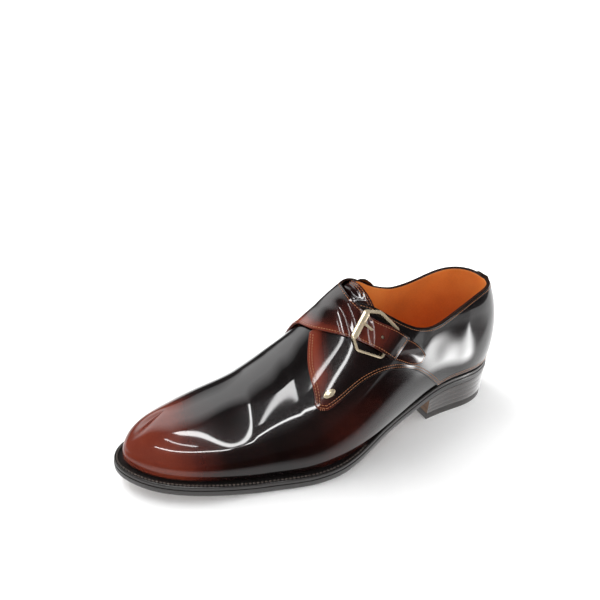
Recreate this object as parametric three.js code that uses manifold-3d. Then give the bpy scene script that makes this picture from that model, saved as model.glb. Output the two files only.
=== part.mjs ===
// Left monk strap shoe in leather, in millimetres, toe toward +X, outer side toward +Y, +Z up.
import * as THREE from "three";
import { mergeVertices } from "three/addons/utils/BufferGeometryUtils.js";
import Module from "manifold-3d";

const wasm = await Module();
wasm.setup();

// Driving sizes of the last
const lastLength = 292;
const ballWidth = 90;
const instepHeight = 95;
const heelHeight = 26;

// Driving sizes of the bottom
const outsoleThickness = 4.7;
const weltThickness = 2.7;
const insoleThickness = 2.5;
const soleEdge = 6;
const soleBevel = 1.2;
const weltLip = 9;
const heelLength = 69;
const heelTaper = 1.6;
const heelSetback = 0.3;
const weltSetback = 0.4;
const insoleInset = 0.5;
const topLiftThickness = 6;

// Driving sizes of the leather
const upperWall = 1.7;
const overlayThickness = 1.1;
const strapThickness = 1.8;
const tongueThickness = 2;
const tongueLift = 1.7;
const backStrapWidth = 12;
const backStrapThickness = 0.9;
const tabThickness = 1.4;

// Driving sizes of the metal
const buckleBarWidth = 3.2;
const buckleArmWidth = 1.8;
const buckleThickness = 1.9;
const hingeRadius = 0.85;
const loopWall = 0.75;
const tabLoopWidth = 15;
const prongWidth = 1.9;
const prongThickness = 1.5;
const prongRingWall = 0.9;
const studLength = 9;
const studWidth = 4.8;
const studHeight = 1.1;

// Clearance between pieces that touch
const gap = 0.3;

// Sections of the last from the heel to the toe. x and ridgeX are shares of the last's length, out, in and
// ridgeY of the ball width, and rise of the instep height. The leans are in degrees from upright at the
// feather line, and foot and crown are how far the section's lower and upper curves reach.
const sectionColumns = ["x", "out", "in", "ridgeX", "ridgeY", "rise", "leanOut", "leanIn", "foot", "crown"];
const sections = [
  [0, 0, 0, 0.137, 0, 0.926, 10, 10, 0.42, 0.95],
  [0.026, 0.211, 0.206, 0.151, 0, 0.93, 12, 12, 0.42, 0.95],
  [0.082, 0.311, 0.306, 0.192, 0, 0.939, 14, 14, 0.42, 0.9],
  [0.164, 0.333, 0.339, 0.26, 0, 0.95, 14, 14, 0.42, 0.85],
  [0.267, 0.378, 0.311, 0.336, 0, 0.985, 16, 18, 0.42, 0.75],
  [0.384, 0.483, 0.239, 0.418, -0.011, 1.03, 16, 30, 0.42, 0.62],
  [0.5, 0.578, 0.294, 0.507, -0.033, 0.91, 12, 30, 0.42, 0.55],
  [0.61, 0.589, 0.406, 0.596, -0.056, 0.716, 8, 16, 0.45, 0.55],
  [0.712, 0.511, 0.4, 0.682, -0.067, 0.562, 6, 8, 0.48, 0.55],
  [0.808, 0.439, 0.389, 0.757, -0.072, 0.452, 6, 6, 0.5, 0.55],
  [0.89, 0.344, 0.333, 0.822, -0.078, 0.376, 6, 6, 0.52, 0.55],
  [0.952, 0.217, 0.239, 0.866, -0.078, 0.331, 6, 6, 0.54, 0.56],
  [0.988, 0.083, 0.139, 0.89, -0.075, 0.3, 6, 6, 0.55, 0.58],
  [1, -0.028, 0.028, 0.897, -0.072, 0.286, 6, 6, 0.55, 0.58],
];

// Underside of the outsole: x is a share of the last's length, height of the heel height. What is below 0 is
// pressed flat on the floor.
const underside = [
  { x: -0.02, height: 1.01 },
  { x: 0.1, height: 0.945 },
  { x: 0.205, height: 0.84 },
  { x: 0.29, height: 0.6 },
  { x: 0.395, height: 0.345 },
  { x: 0.5, height: 0.095 },
  { x: 0.585, height: 0.015 },
  { x: 0.65, height: -0.012 },
  { x: 0.71, height: -0.012 },
  { x: 0.77, height: 0.04 },
  { x: 0.83, height: 0.12 },
  { x: 0.91, height: 0.21 },
  { x: 0.98, height: 0.3 },
  { x: 1.04, height: 0.42 },
];

// How far the sole stands out past the feather line, as shares of soleEdge along the last
const soleMargin = [
  { x: -0.02, out: 0.3, in: 0.3 },
  { x: 0.2, out: 0.3, in: 0.3 },
  { x: 0.3, out: 0.2, in: 0.15 },
  { x: 0.38, out: 0.15, in: 0.1 },
  { x: 0.46, out: 0.5, in: 0.25 },
  { x: 0.54, out: 0.95, in: 0.75 },
  { x: 0.62, out: 1, in: 1 },
  { x: 0.85, out: 1.04, in: 1.04 },
  { x: 1.02, out: 1.08, in: 1.08 },
];

// Edge of the collar and throat. s runs from 0 at the heel to 1 at the toe, and out and in are the distances
// from the ridge on each side, as shares of the way from the ridge to the feather line.
const collar = [
  { s: 0, out: 0.45, in: 0.45 },
  { s: 0.06, out: 0.43, in: 0.43 },
  { s: 0.11, out: 0.435, in: 0.45 },
  { s: 0.16, out: 0.48, in: 0.505 },
  { s: 0.21, out: 0.53, in: 0.535 },
  { s: 0.25, out: 0.545, in: 0.515 },
  { s: 0.29, out: 0.515, in: 0.445 },
  { s: 0.335, out: 0.44, in: 0.335 },
  { s: 0.375, out: 0.34, in: 0.21 },
  { s: 0.42, out: 0.2, in: 0.14 },
  { s: 0.46, out: 0.13, in: 0.12 },
  { s: 0.49, out: 0.085, in: 0.085 },
  { s: 0.5, out: 0, in: 0 },
];

// Lower seam of the quarters, from the feather line at the heel to the front corner
const quarterSeam = [
  { s: 0.236, out: 1, in: 1 },
  { s: 0.251, out: 0.945, in: 0.945 },
  { s: 0.284, out: 0.835, in: 0.83 },
  { s: 0.312, out: 0.76, in: 0.745 },
  { s: 0.374, out: 0.66, in: 0.645 },
  { s: 0.427, out: 0.61, in: 0.608 },
  { s: 0.476, out: 0.59, in: 0.61 },
  { s: 0.525, out: 0.602, in: 0.615 },
  { s: 0.56, out: 0.61, in: 0.615 },
];

// Front edge of the outer quarter, from its top corner to its lower one
const quarterFront = [
  { down: 0, s: 0.54 },
  { down: 0.2, s: 0.56 },
  { down: 0.4, s: 0.572 },
  { down: 0.8, s: 0.578 },
  { down: 0.93, s: 0.574 },
  { down: 1, s: 0.556 },
];

// Inner quarter's front edge below the strap
const innerFront = [
  { down: 0, s: 0.562 },
  { down: 0.4, s: 0.566 },
  { down: 0.8, s: 0.566 },
  { down: 0.93, s: 0.56 },
  { down: 1, s: 0.542 },
];

// The strap from the inner quarter over the ridge to its free end. Each row has its rear and front edge as
// s and w, where w is negative on the inner side and 0 on the ridge, the height of its underside over the
// last and its thickness as a share of strapThickness.
const strapRows = [
  { rearS: 0.36, rearW: -0.262, frontS: 0.562, frontW: -0.3, under: 0.3, thick: 0.61 },
  { rearS: 0.384, rearW: -0.18, frontS: 0.559, frontW: -0.2, under: 0.7, thick: 0.75 },
  { rearS: 0.41, rearW: -0.08, frontS: 0.552, frontW: -0.08, under: 1.5, thick: 0.95 },
  { rearS: 0.425, rearW: 0.03, frontS: 0.54, frontW: 0.06, under: 2.1, thick: 1 },
  { rearS: 0.43, rearW: 0.15, frontS: 0.518, frontW: 0.175, under: 2.3, thick: 1 },
  { rearS: 0.421, rearW: 0.27, frontS: 0.478, frontW: 0.315, under: 2.7, thick: 1 },
  { rearS: 0.404, rearW: 0.36, frontS: 0.452, frontW: 0.4, under: 4, thick: 1 },
  { rearS: 0.374, rearW: 0.44, frontS: 0.425, frontW: 0.49, under: 6.4, thick: 1 },
  { rearS: 0.344, rearW: 0.515, frontS: 0.397, frontW: 0.58, under: 5, thick: 1 },
];

// Corners of the buckle frame on the outer quarter: s, w and height of the bar's middle over the last
const buckleCorners = {
  frontLow: { s: 0.464, w: 0.355, over: 6.4 },
  frontHigh: { s: 0.416, w: 0.285, over: 6.4 },
  shoulderHigh: { s: 0.391, w: 0.325, over: 5.9 },
  rearHigh: { s: 0.363, w: 0.455, over: 4.1 },
  rearLow: { s: 0.42, w: 0.535, over: 4.1 },
  shoulderLow: { s: 0.466, w: 0.42, over: 5.9 },
};

// The tab from the hinge bar to its tip: edges toward the collar and toward the sole
const tabRows = [
  { highS: 0.377, highW: 0.458, lowS: 0.415, lowW: 0.511 },
  { highS: 0.362, highW: 0.492, lowS: 0.404, lowW: 0.553 },
  { highS: 0.341, highW: 0.525, lowS: 0.387, lowW: 0.595 },
  { highS: 0.324, highW: 0.56, lowS: 0.366, lowW: 0.635 },
  { highS: 0.305, highW: 0.62, lowS: 0.34, lowW: 0.678 },
  { highS: 0.296, highW: 0.672, lowS: 0.311, lowW: 0.7 },
];

const studs = {
  out: { s: 0.545, w: 0.525 },
  in: { s: 0.535, w: -0.53 },
};

const colors = {
  leather: 0x1b0f0e,
  strap: 0x3a1512,
  sole: 0x17120f,
  heel: 0x1d1714,
  rubber: 0x141313,
  insole: 0xb87a45,
  metal: 0xe6d9b8,
};

// Cubic spline through the rows of a table, natural at its ends or closed on itself
function spline(xs, rows, closed = false) {
  const last = xs.length - 1;
  const step = (i) => xs[(i + last) % last + 1] - xs[(i + last) % last];
  const rise = (i, c) => (rows[(i + last) % last + 1][c] - rows[(i + last) % last][c]) / step(i);
  const slopes = rows.map((row) => row.map(() => 0));
  for (let sweep = 0; sweep < 60; sweep += 1) {
    for (let c = 0; c < rows[0].length; c += 1) {
      for (let i = 0; i < last; i += 1) {
        if (i === 0 && !closed) {
          slopes[0][c] = (3 * rise(0, c) - slopes[1][c]) / 2;
        } else {
          const before = slopes[(i - 1 + last) % last][c];
          const after = slopes[i + 1 === last && closed ? 0 : i + 1][c];
          const sum = 3 * (step(i) * rise(i - 1, c) + step(i - 1) * rise(i, c));
          slopes[i][c] = (sum - step(i) * before - step(i - 1) * after) / (2 * (step(i) + step(i - 1)));
        }
      }
      slopes[last][c] = closed ? slopes[0][c] : (3 * rise(last - 1, c) - slopes[last - 1][c]) / 2;
    }
  }
  return (x) => {
    let i = 0;
    while (i < last - 1 && x > xs[i + 1]) i += 1;
    const h = xs[i + 1] - xs[i];
    const u = (x - xs[i]) / h;
    return rows[i].map((value, c) => {
      const start = value * (1 + 2 * u) * (1 - u) ** 2 + slopes[i][c] * h * u * (1 - u) ** 2;
      const end = rows[i + 1][c] * u * u * (3 - 2 * u) - slopes[i + 1][c] * h * u * u * (1 - u);
      return start + end;
    });
  };
}

// Straight steps between the rows of a table, for one named column
function between(table, key, column, x) {
  const last = table.length - 1;
  if (x <= table[0][key]) return table[0][column];
  let i = 0;
  while (i < last - 1 && x > table[i + 1][key]) i += 1;
  const u = Math.min(1, (x - table[i][key]) / (table[i + 1][key] - table[i][key]));
  return table[i][column] * (1 - u) + table[i + 1][column] * u;
}

// The same table as smooth columns
function smoothTable(table, key, columns) {
  const curve = spline(table.map((row) => row[key]), table.map((row) => columns.map((name) => row[name])));
  const first = table[0][key];
  const end = table[table.length - 1][key];
  return (x) => {
    const values = curve(Math.min(end, Math.max(first, x)));
    return Object.fromEntries(columns.map((name, i) => [name, values[i]]));
  };
}

// Height of the outsole's underside at a place along the shoe
const undersideCurve = spline(
  underside.map((row) => row.x * lastLength),
  underside.map((row) => [row.height * heelHeight]),
);
const undersideAt = (x) => Math.max(0, undersideCurve(x)[0]);

// Levels over the outsole's underside
const weltBase = outsoleThickness + gap;
const weltTop = weltBase + weltThickness;
const featherLevel = weltTop + gap;

// The last's columns around the shoe: t is 0 at the toe, grows to 1 along the outer side to the heel, and
// falls to -1 along the inner side to the heel
const sectionRows = sections.map((values) => {
  const row = Object.fromEntries(sectionColumns.map((name, i) => [name, values[i]]));
  return {
    x: row.x * lastLength,
    out: row.out * ballWidth,
    in: -row.in * ballWidth,
    leanOut: row.leanOut,
    leanIn: row.leanIn,
    rest: [row.ridgeX * lastLength, row.ridgeY * ballWidth, row.rise * instepHeight, row.foot, row.crown],
  };
});
const sectionPlaces = [0];
for (let i = 1; i < sectionRows.length; i += 1) {
  const a = sectionRows[i - 1];
  const b = sectionRows[i];
  const step = (Math.hypot(b.x - a.x, b.out - a.out) + Math.hypot(b.x - a.x, b.in - a.in)) / 2;
  sectionPlaces.push(sectionPlaces[i - 1] + step);
}
const halfGirth = sectionPlaces[sectionPlaces.length - 1];
const innerRows = sectionRows.map((row, i) => ({
  t: sectionPlaces[i] / halfGirth - 1,
  values: [row.x, row.in, row.leanIn, ...row.rest],
}));
const outerRows = sectionRows.map((row, i) => ({
  t: 1 - sectionPlaces[i] / halfGirth,
  values: [row.x, row.out, row.leanOut, ...row.rest],
}));
const lastRows = [...innerRows.slice(0, -1), ...outerRows.reverse()];
const lastCurve = spline(lastRows.map((row) => row.t), lastRows.map((row) => row.values), true);

function lastAt(t) {
  const [x, y, lean, ridgeX, ridgeY, rise, foot, crown] = lastCurve(t - 2 * Math.floor((t + 1) / 2));
  return { x, y, lean, ridgeX, ridgeY, rise, foot, crown };
}

function ridgeAt(t) {
  const row = lastAt(Math.abs(t - 2 * Math.floor((t + 1) / 2)));
  return new THREE.Vector3(row.ridgeX, row.ridgeY, undersideAt(row.x) + featherLevel + row.rise);
}

// Slope of the ridge line, along the shoe
function ridgeSlope(t) {
  const step = 0.002;
  const place = Math.min(1 - 1.5 * step, Math.max(1.5 * step, Math.abs(t - 2 * Math.floor((t + 1) / 2))));
  const run = ridgeAt(place + step).sub(ridgeAt(place - step));
  return run.z / run.x;
}

// Outward direction of the feather line, seen from above
function outwardAt(t) {
  const step = 0.0001;
  const a = lastAt(t - step);
  const b = lastAt(t + step);
  return new THREE.Vector3(b.y - a.y, a.x - b.x, 0).normalize();
}

// A point of the last's surface: v is 0 at the feather line and 1 on the ridge
function lastPoint(t, v) {
  const row = lastAt(t);
  const ridge = ridgeAt(t);
  const feather = new THREE.Vector3(row.x, row.y, undersideAt(row.x) + featherLevel);
  const lean = THREE.MathUtils.degToRad(row.lean);
  const up = outwardAt(t).multiplyScalar(Math.sin(lean)).setZ(Math.cos(lean));
  const lower = feather.clone().addScaledVector(up, row.foot * (ridge.z - feather.z));
  const across = feather.clone().sub(ridge).multiplyScalar(row.crown);
  const upper = ridge.clone().add(across.setZ(ridgeSlope(t) * across.x));
  return new THREE.CubicBezierCurve3(feather, lower, upper, ridge).getPoint(v);
}

function lastNormal(t, v) {
  const step = 0.001;
  if (v > 1 - step) return new THREE.Vector3(-ridgeSlope(t), 0, 1).normalize();
  const along = lastPoint(t + step, v).sub(lastPoint(t - step, v));
  const up = lastPoint(t, Math.min(1, v + step)).sub(lastPoint(t, Math.max(0, v - step)));
  return along.cross(up).normalize();
}

// A point at a height over the last, by s from the heel to the toe and w from the ridge down to each side
function onLast(s, w, over) {
  const t = w < 0 ? s - 1 : 1 - s;
  const v = 1 - Math.abs(w);
  return lastPoint(t, v).addScaledVector(lastNormal(t, v), over);
}

// Collar edge as smooth columns, kept away from the ridge until the throat's end
const throatEnd = collar[collar.length - 1].s;
const collarCurve = smoothTable(collar.slice(0, -1), "s", ["out", "in"]);
function collarEdge(s, side) {
  const column = side > 0 ? "out" : "in";
  const roundStart = collar[collar.length - 2].s;
  const edge = collarCurve(Math.min(s, roundStart))[column];
  if (s <= roundStart) return edge;
  const u = Math.min(1, (s - roundStart) / (throatEnd - roundStart));
  return edge * Math.sqrt(Math.max(0, 1 - u * u));
}

// Mesh of loose triangles that is merged and turned so that its faces point out
class Faces {
  constructor() {
    this.points = [];
  }

  triangle(a, b, c) {
    this.points.push(a, b, c);
  }

  quad(a, b, c, d) {
    if (a.distanceToSquared(c) <= b.distanceToSquared(d)) {
      this.triangle(a, b, c);
      this.triangle(a, c, d);
    } else {
      this.triangle(a, b, d);
      this.triangle(b, c, d);
    }
  }

  geometry() {
    const positions = new Float32Array(this.points.flatMap((point) => [point.x, point.y, point.z]));
    const loose = new THREE.BufferGeometry();
    loose.setAttribute("position", new THREE.BufferAttribute(positions, 3));
    const merged = mergeVertices(loose, 0.0005);
    const corners = Array.from(merged.index.array);
    const kept = [];
    for (let i = 0; i < corners.length; i += 3) {
      const [a, b, c] = corners.slice(i, i + 3);
      if (a !== b && b !== c && a !== c) kept.push(a, b, c);
    }
    merged.setIndex(kept);
    if (signedVolume(merged) < 0) {
      for (let i = 0; i < kept.length; i += 3) kept.splice(i, 3, kept[i], kept[i + 2], kept[i + 1]);
      merged.setIndex(kept);
    }
    return merged;
  }
}

function signedVolume(geometry) {
  const position = geometry.getAttribute("position");
  const corner = (i) => new THREE.Vector3().fromBufferAttribute(position, geometry.index.getX(i));
  let volume = 0;
  for (let i = 0; i < geometry.index.count; i += 3) {
    volume += corner(i).dot(corner(i + 1).cross(corner(i + 2))) / 6;
  }
  return volume;
}

// A leather sheet on a grid of places. outer and inner give the two faces, has says which cells are leather,
// and stitched names the edges that close on themselves and so get no side face.
function sheet(columns, rows, outer, inner, has = () => true, stitched = () => false) {
  const top = [];
  const bottom = [];
  for (let i = 0; i <= columns; i += 1) {
    top.push([]);
    bottom.push([]);
    for (let j = 0; j <= rows; j += 1) {
      top[i].push(outer(i, j));
      bottom[i].push(inner(i, j));
    }
  }
  const filled = (i, j) => i >= 0 && j >= 0 && i < columns && j < rows && has(i, j);
  const faces = new Faces();
  for (let i = 0; i < columns; i += 1) {
    for (let j = 0; j < rows; j += 1) {
      if (!filled(i, j)) continue;
      faces.quad(top[i][j], top[i + 1][j], top[i + 1][j + 1], top[i][j + 1]);
      faces.quad(bottom[i][j], bottom[i][j + 1], bottom[i + 1][j + 1], bottom[i + 1][j]);
      const sides = [
        [i - 1, j, [i, j], [i, j + 1]],
        [i + 1, j, [i + 1, j + 1], [i + 1, j]],
        [i, j - 1, [i + 1, j], [i, j]],
        [i, j + 1, [i, j + 1], [i + 1, j + 1]],
      ];
      for (const [nextI, nextJ, [ai, aj], [bi, bj]] of sides) {
        if (filled(nextI, nextJ) || stitched(nextI, nextJ)) continue;
        faces.quad(top[ai][aj], top[bi][bj], bottom[bi][bj], bottom[ai][aj]);
      }
    }
  }
  return faces.geometry();
}

// A plate or block from outlines of equal count, lowest first. Each outline is a pair of point lists, one for
// each side, that start at one end of the shoe and meet at the other.
function block(outlines) {
  const faces = new Faces();
  const count = outlines[0].out.length;
  const lowest = outlines[0];
  const highest = outlines[outlines.length - 1];
  for (let k = 0; k < count - 1; k += 1) {
    faces.quad(lowest.out[k], lowest.out[k + 1], lowest.in[k + 1], lowest.in[k]);
    faces.quad(highest.out[k], highest.in[k], highest.in[k + 1], highest.out[k + 1]);
  }
  for (let level = 0; level < outlines.length - 1; level += 1) {
    const a = outlines[level];
    const b = outlines[level + 1];
    for (let k = 0; k < count - 1; k += 1) {
      faces.quad(a.out[k], b.out[k], b.out[k + 1], a.out[k + 1]);
      faces.quad(a.in[k], a.in[k + 1], b.in[k + 1], b.in[k]);
    }
    faces.quad(a.out[0], a.in[0], b.in[0], b.out[0]);
  }
  return faces.geometry();
}

// A ring or rod whose section goes round. places gives each section's corners in order.
function sweep(places, closed) {
  const faces = new Faces();
  const count = places.length;
  const corners = places[0].length;
  for (let i = 0; i < (closed ? count : count - 1); i += 1) {
    const a = places[i];
    const b = places[(i + 1) % count];
    for (let k = 0; k < corners; k += 1) {
      const n = (k + 1) % corners;
      faces.quad(a[k], a[n], b[n], b[k]);
    }
  }
  if (!closed) {
    for (let k = 1; k < corners - 1; k += 1) {
      faces.triangle(places[0][0], places[0][k + 1], places[0][k]);
      faces.triangle(places[count - 1][0], places[count - 1][k], places[count - 1][k + 1]);
    }
  }
  return faces.geometry();
}

function toManifold(geometry) {
  return new wasm.Manifold(new wasm.Mesh({
    numProp: 3,
    vertProperties: geometry.getAttribute("position").array,
    triVerts: new Uint32Array(geometry.index.array),
  }));
}

function fromManifold(solid) {
  const mesh = solid.getMesh();
  const geometry = new THREE.BufferGeometry();
  geometry.setAttribute("position", new THREE.BufferAttribute(mesh.vertProperties, 3));
  geometry.setIndex(new THREE.BufferAttribute(mesh.triVerts, 1));
  return geometry;
}

// A closed copy of a library shape, with its shared corners merged
function closedCopy(geometry) {
  const bare = geometry.clone();
  bare.deleteAttribute("normal");
  bare.deleteAttribute("uv");
  return mergeVertices(bare, 0.0001);
}

// A point at a distance outside the feather line, at a height over the underside
function bottomPoint(t, outside, over) {
  const row = lastAt(t);
  const place = new THREE.Vector3(row.x, row.y, 0).addScaledVector(outwardAt(t), outside);
  return place.setZ(undersideAt(place.x) + over);
}

const marginCurve = smoothTable(soleMargin, "x", ["out", "in"]);
function marginAt(t) {
  return soleEdge * marginCurve(lastAt(t).x / lastLength)[t > 0 ? "out" : "in"];
}

// Where a side of an outline passes a place along the shoe. outside is the outline's distance from the
// feather line.
function outlinePoint(side, x, outside) {
  let low = 0;
  let high = 1;
  for (let i = 0; i < 30; i += 1) {
    const middle = side * (low + high) / 2;
    if (bottomPoint(middle, outside(middle), 0).x > x) low = Math.abs(middle);
    else high = Math.abs(middle);
  }
  return bottomPoint(side * low, outside(side * low), 0).setX(x);
}

// Both sides of an outline from a place behind to the toe, or from the back to a place in front, with
// stations closer together where it turns. level gives each point's height.
function outline(outside, level, count, front) {
  const toe = bottomPoint(0, outside(0), 0);
  const heel = bottomPoint(1, outside(1), 0);
  const end = front ?? toe.x;
  const line = (side) => {
    const points = [heel.clone()];
    for (let k = 1; k <= count; k += 1) {
      const turn = front === undefined ? (1 - Math.cos(Math.PI * k / count)) / 2 : (k / count) ** 2;
      points.push(outlinePoint(side, heel.x + (end - heel.x) * turn, outside));
    }
    if (front === undefined) points[count] = toe.clone();
    return points.reverse().map((point) => point.setZ(level(point.x)));
  };
  return { out: line(1), in: line(-1) };
}

const overUnderside = (over) => (x) => undersideAt(x) + over;

function outsole() {
  const count = 44;
  return block([
    outline((t) => marginAt(t) - soleBevel, overUnderside(0), count),
    outline(marginAt, overUnderside(soleBevel), count),
    outline(marginAt, overUnderside(outsoleThickness), count),
  ]);
}

function insole() {
  const count = 30;
  const inside = () => -upperWall - insoleInset;
  return block([
    outline(inside, overUnderside(featherLevel), count),
    outline(inside, overUnderside(featherLevel + insoleThickness), count),
  ]);
}

// The welt's edge stands back a little from the outsole's
function welt() {
  const count = 76;
  return sweep(Array.from({ length: count }, (_, i) => {
    const t = 2 * i / count - 1;
    return [
      bottomPoint(t, marginAt(t) - weltSetback, weltBase),
      bottomPoint(t, marginAt(t) - weltSetback, weltTop),
      bottomPoint(t, -weltLip, weltTop),
      bottomPoint(t, -weltLip, weltBase),
    ];
  }), true);
}

// Outline of the heel from the breast round the back, a distance inside the sole's edge
function heelOutline(inside, level) {
  return outline((t) => marginAt(t) - inside, level, 16, heelLength);
}

function heelStack() {
  const base = topLiftThickness + gap;
  return block([
    heelOutline(heelTaper, () => base),
    heelOutline(heelSetback, (x) => undersideAt(x) - gap),
  ]);
}

function heelTopLift() {
  return block([
    heelOutline(heelTaper + heelSetback, () => 0),
    heelOutline(heelTaper, () => topLiftThickness),
  ]);
}

// The upper's shell. Rows go round the shoe, and columns go up from the feather line to the collar, or to
// the ridge where the vamp closes over the toes.
function upper() {
  const vampRows = 20;
  const throatRows = 11;
  const collarRows = 18;
  const levels = 11;
  const throatPlace = 1 - throatEnd;
  const backOfThroat = 1 - 0.36;
  const half = [];
  for (let i = 0; i <= vampRows; i += 1) {
    const u = i / vampRows;
    half.push(throatPlace * (u - 0.12 * Math.sin(2 * Math.PI * u) / Math.PI - 0.1 * u * (1 - u)));
  }
  for (let i = 1; i <= throatRows; i += 1) {
    half.push(throatPlace + (backOfThroat - throatPlace) * (i / throatRows) ** 1.7);
  }
  for (let i = 1; i <= collarRows; i += 1) {
    const u = i / collarRows;
    half.push(backOfThroat + (1 - backOfThroat) * (u + 0.16 * Math.sin(Math.PI * u) / Math.PI));
  }
  const around = [...half.slice(1).reverse().map((t) => -t), ...half];
  const count = around.length - 1;
  const top = (t) => 1 - collarEdge(1 - Math.abs(t), Math.sign(t));
  const point = (i, j, under) => {
    const t = i === count ? -1 : around[i];
    const v = Math.abs(t) <= throatPlace ? j / levels : top(t) * j / levels;
    const side = v > 0.999 ? Math.abs(t) : t;
    return lastPoint(side, v).addScaledVector(lastNormal(side, v), -under);
  };
  const closedRows = (i, j) => {
    if (i < 0 || i >= count) return true;
    return j === levels && Math.abs(around[i]) <= throatPlace && Math.abs(around[i + 1]) <= throatPlace;
  };
  return sheet(count, levels, (i, j) => point(i, j, 0), (i, j) => point(i, j, upperWall), undefined, closedRows);
}

// The tongue lies under the edges of the throat and rises between them
function tongue() {
  const rear = 0.388;
  const front = 0.545;
  const overlap = 0.07;
  const riseInset = 0.035;
  const fadeInset = 0.02;
  const fadeLength = 0.06;
  const columns = 10;
  const rows = 12;
  const place = (i, j) => {
    const s = rear + (front - rear) * i / columns;
    const out = collarEdge(s, 1);
    const inner = collarEdge(s, -1);
    const u = j / rows;
    const w = -(inner + overlap) * (1 - u) + (out + overlap) * u;
    const edge = (w > 0 ? out : inner) - riseInset;
    const fade = Math.max(0, Math.min(1, (throatEnd - fadeInset - s) / fadeLength));
    const lift = edge > Math.abs(w) ? tongueLift * fade * (1 - (w / edge) ** 2) : 0;
    return { s, w, over: lift - upperWall - gap };
  };
  const face = (under) => (i, j) => {
    const { s, w, over } = place(i, j);
    return onLast(s, w, over - under);
  };
  return sheet(columns, rows, face(0), face(tongueThickness));
}

// Where the outer quarter ends at its top, a little below the collar's edge
const seamCurve = smoothTable(quarterSeam, "s", ["out", "in"]);
function seamEdge(s, column) {
  return s <= quarterSeam[0].s ? quarterFoot : Math.min(quarterFoot, seamCurve(s)[column]);
}

const backSeamHalf = 0.002;
const quarterFoot = 0.985;
const collarMargin = 0.006;

function quarterOuter() {
  const columns = 30;
  const rows = 8;
  const frontTop = { s: quarterFront[0].s, w: 0.115 };
  const place = (i, j) => {
    const down = j / rows;
    const end = between(quarterFront, "down", "s", down);
    const s = backSeamHalf + (end - backSeamHalf) * i / columns;
    const blend = Math.max(0, Math.min(1, (s - 0.46) / (frontTop.s - 0.46)));
    const top = (collarEdge(Math.min(s, 0.46), 1) + collarMargin) * (1 - blend) + frontTop.w * blend;
    return { s, w: top + (seamEdge(s, "out") - top) * down };
  };
  const face = (over) => (i, j) => {
    const { s, w } = place(i, j);
    return onLast(s, w, over);
  };
  return sheet(columns, rows, face(gap + overlayThickness), face(gap));
}

// The inner quarter and the strap are one piece. The first rows are the quarter, from its lower seam up to
// the collar, and the rest is the strap. Columns before the strap's rear edge belong to the quarter alone.
const strapCurve = spline(
  strapRows.map((row, i) => i),
  strapRows.map((row) => [row.rearS, row.rearW, row.frontS, row.frontW, row.under, row.thick]),
);

function strapPlace(along, across) {
  const [rearS, rearW, frontS, frontW, under, thick] = strapCurve(along);
  return {
    s: rearS + (frontS - rearS) * across,
    w: rearW + (frontW - rearW) * across,
    under,
    thick: thick * strapThickness,
  };
}

function quarterInner() {
  const rearColumns = 19;
  const strapColumns = 6;
  const quarterRows = 8;
  const strapSteps = 24;
  const start = strapRows[0];
  const place = (i, j) => {
    const across = Math.max(0, (i - rearColumns) / strapColumns);
    if (j > quarterRows) {
      return strapPlace((j - quarterRows) / strapSteps * (strapRows.length - 1), across);
    }
    const down = 1 - j / quarterRows;
    const end = between(innerFront, "down", "s", down);
    const s = i <= rearColumns
      ? backSeamHalf + (start.rearS - backSeamHalf) * i / rearColumns
      : start.rearS + (end - start.rearS) * across;
    const blend = Math.max(0, Math.min(1, (s - 0.3) / 0.06));
    const edge = collarEdge(Math.min(s, start.rearS), -1) + collarMargin;
    const joined = i <= rearColumns
      ? edge * (1 - blend) - start.rearW * blend
      : -start.rearW - (start.frontW - start.rearW) * across;
    return { s, w: -joined - (seamEdge(s, "in") - joined) * down, under: gap, thick: overlayThickness };
  };
  const outer = (i, j) => {
    const { s, w, under, thick } = place(i, j);
    return onLast(s, w, under + thick);
  };
  const inner = (i, j) => {
    const { s, w, under } = place(i, j);
    return onLast(s, w, under);
  };
  const has = (i, j) => i >= rearColumns || j < quarterRows;
  const body = toManifold(sheet(rearColumns + strapColumns, quarterRows + strapSteps, outer, inner, has));
  return fromManifold(body.subtract(prongHole()));
}

function backStrap() {
  const half = backStrapWidth / 2 / halfGirth;
  const columns = 6;
  const rows = 8;
  const lower = 0.66;
  const face = (over) => (i, j) => {
    const t = 1 - half + 2 * half * i / columns;
    const edge = collarEdge(Math.abs(1 - t), 1) + collarMargin;
    const v = 1 - (edge + (lower - edge) * j / rows);
    return lastPoint(t, v).addScaledVector(lastNormal(t, v), over);
  };
  const base = gap + overlayThickness + gap;
  return sheet(columns, rows, face(base + backStrapThickness), face(base));
}

// The buckle's own frame: its hinge line, and the directions along the strap, across it and outward
const hingeLow = onLast(buckleCorners.rearLow.s, buckleCorners.rearLow.w, buckleCorners.rearLow.over);
const hingeHigh = onLast(buckleCorners.rearHigh.s, buckleCorners.rearHigh.w, buckleCorners.rearHigh.over);
const barLow = onLast(buckleCorners.frontLow.s, buckleCorners.frontLow.w, buckleCorners.frontLow.over);
const barHigh = onLast(buckleCorners.frontHigh.s, buckleCorners.frontHigh.w, buckleCorners.frontHigh.over);
const hingeMiddle = hingeLow.clone().add(hingeHigh).multiplyScalar(0.5);
const barMiddle = barLow.clone().add(barHigh).multiplyScalar(0.5);
const across = hingeHigh.clone().sub(hingeLow).normalize();
const towardBar = barMiddle.clone().sub(hingeMiddle);
towardBar.addScaledVector(across, -towardBar.dot(across));
const buckleLength = towardBar.length();
towardBar.normalize();
const outFromBuckle = towardBar.clone().cross(across).normalize();
if (outFromBuckle.y < 0) outFromBuckle.negate();

// A place by distances from the middle of the hinge bar: toward the front bar, across and outward
function atBuckle(forward, side, out) {
  return hingeMiddle.clone()
    .addScaledVector(towardBar, forward)
    .addScaledVector(across, side)
    .addScaledVector(outFromBuckle, out);
}

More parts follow.
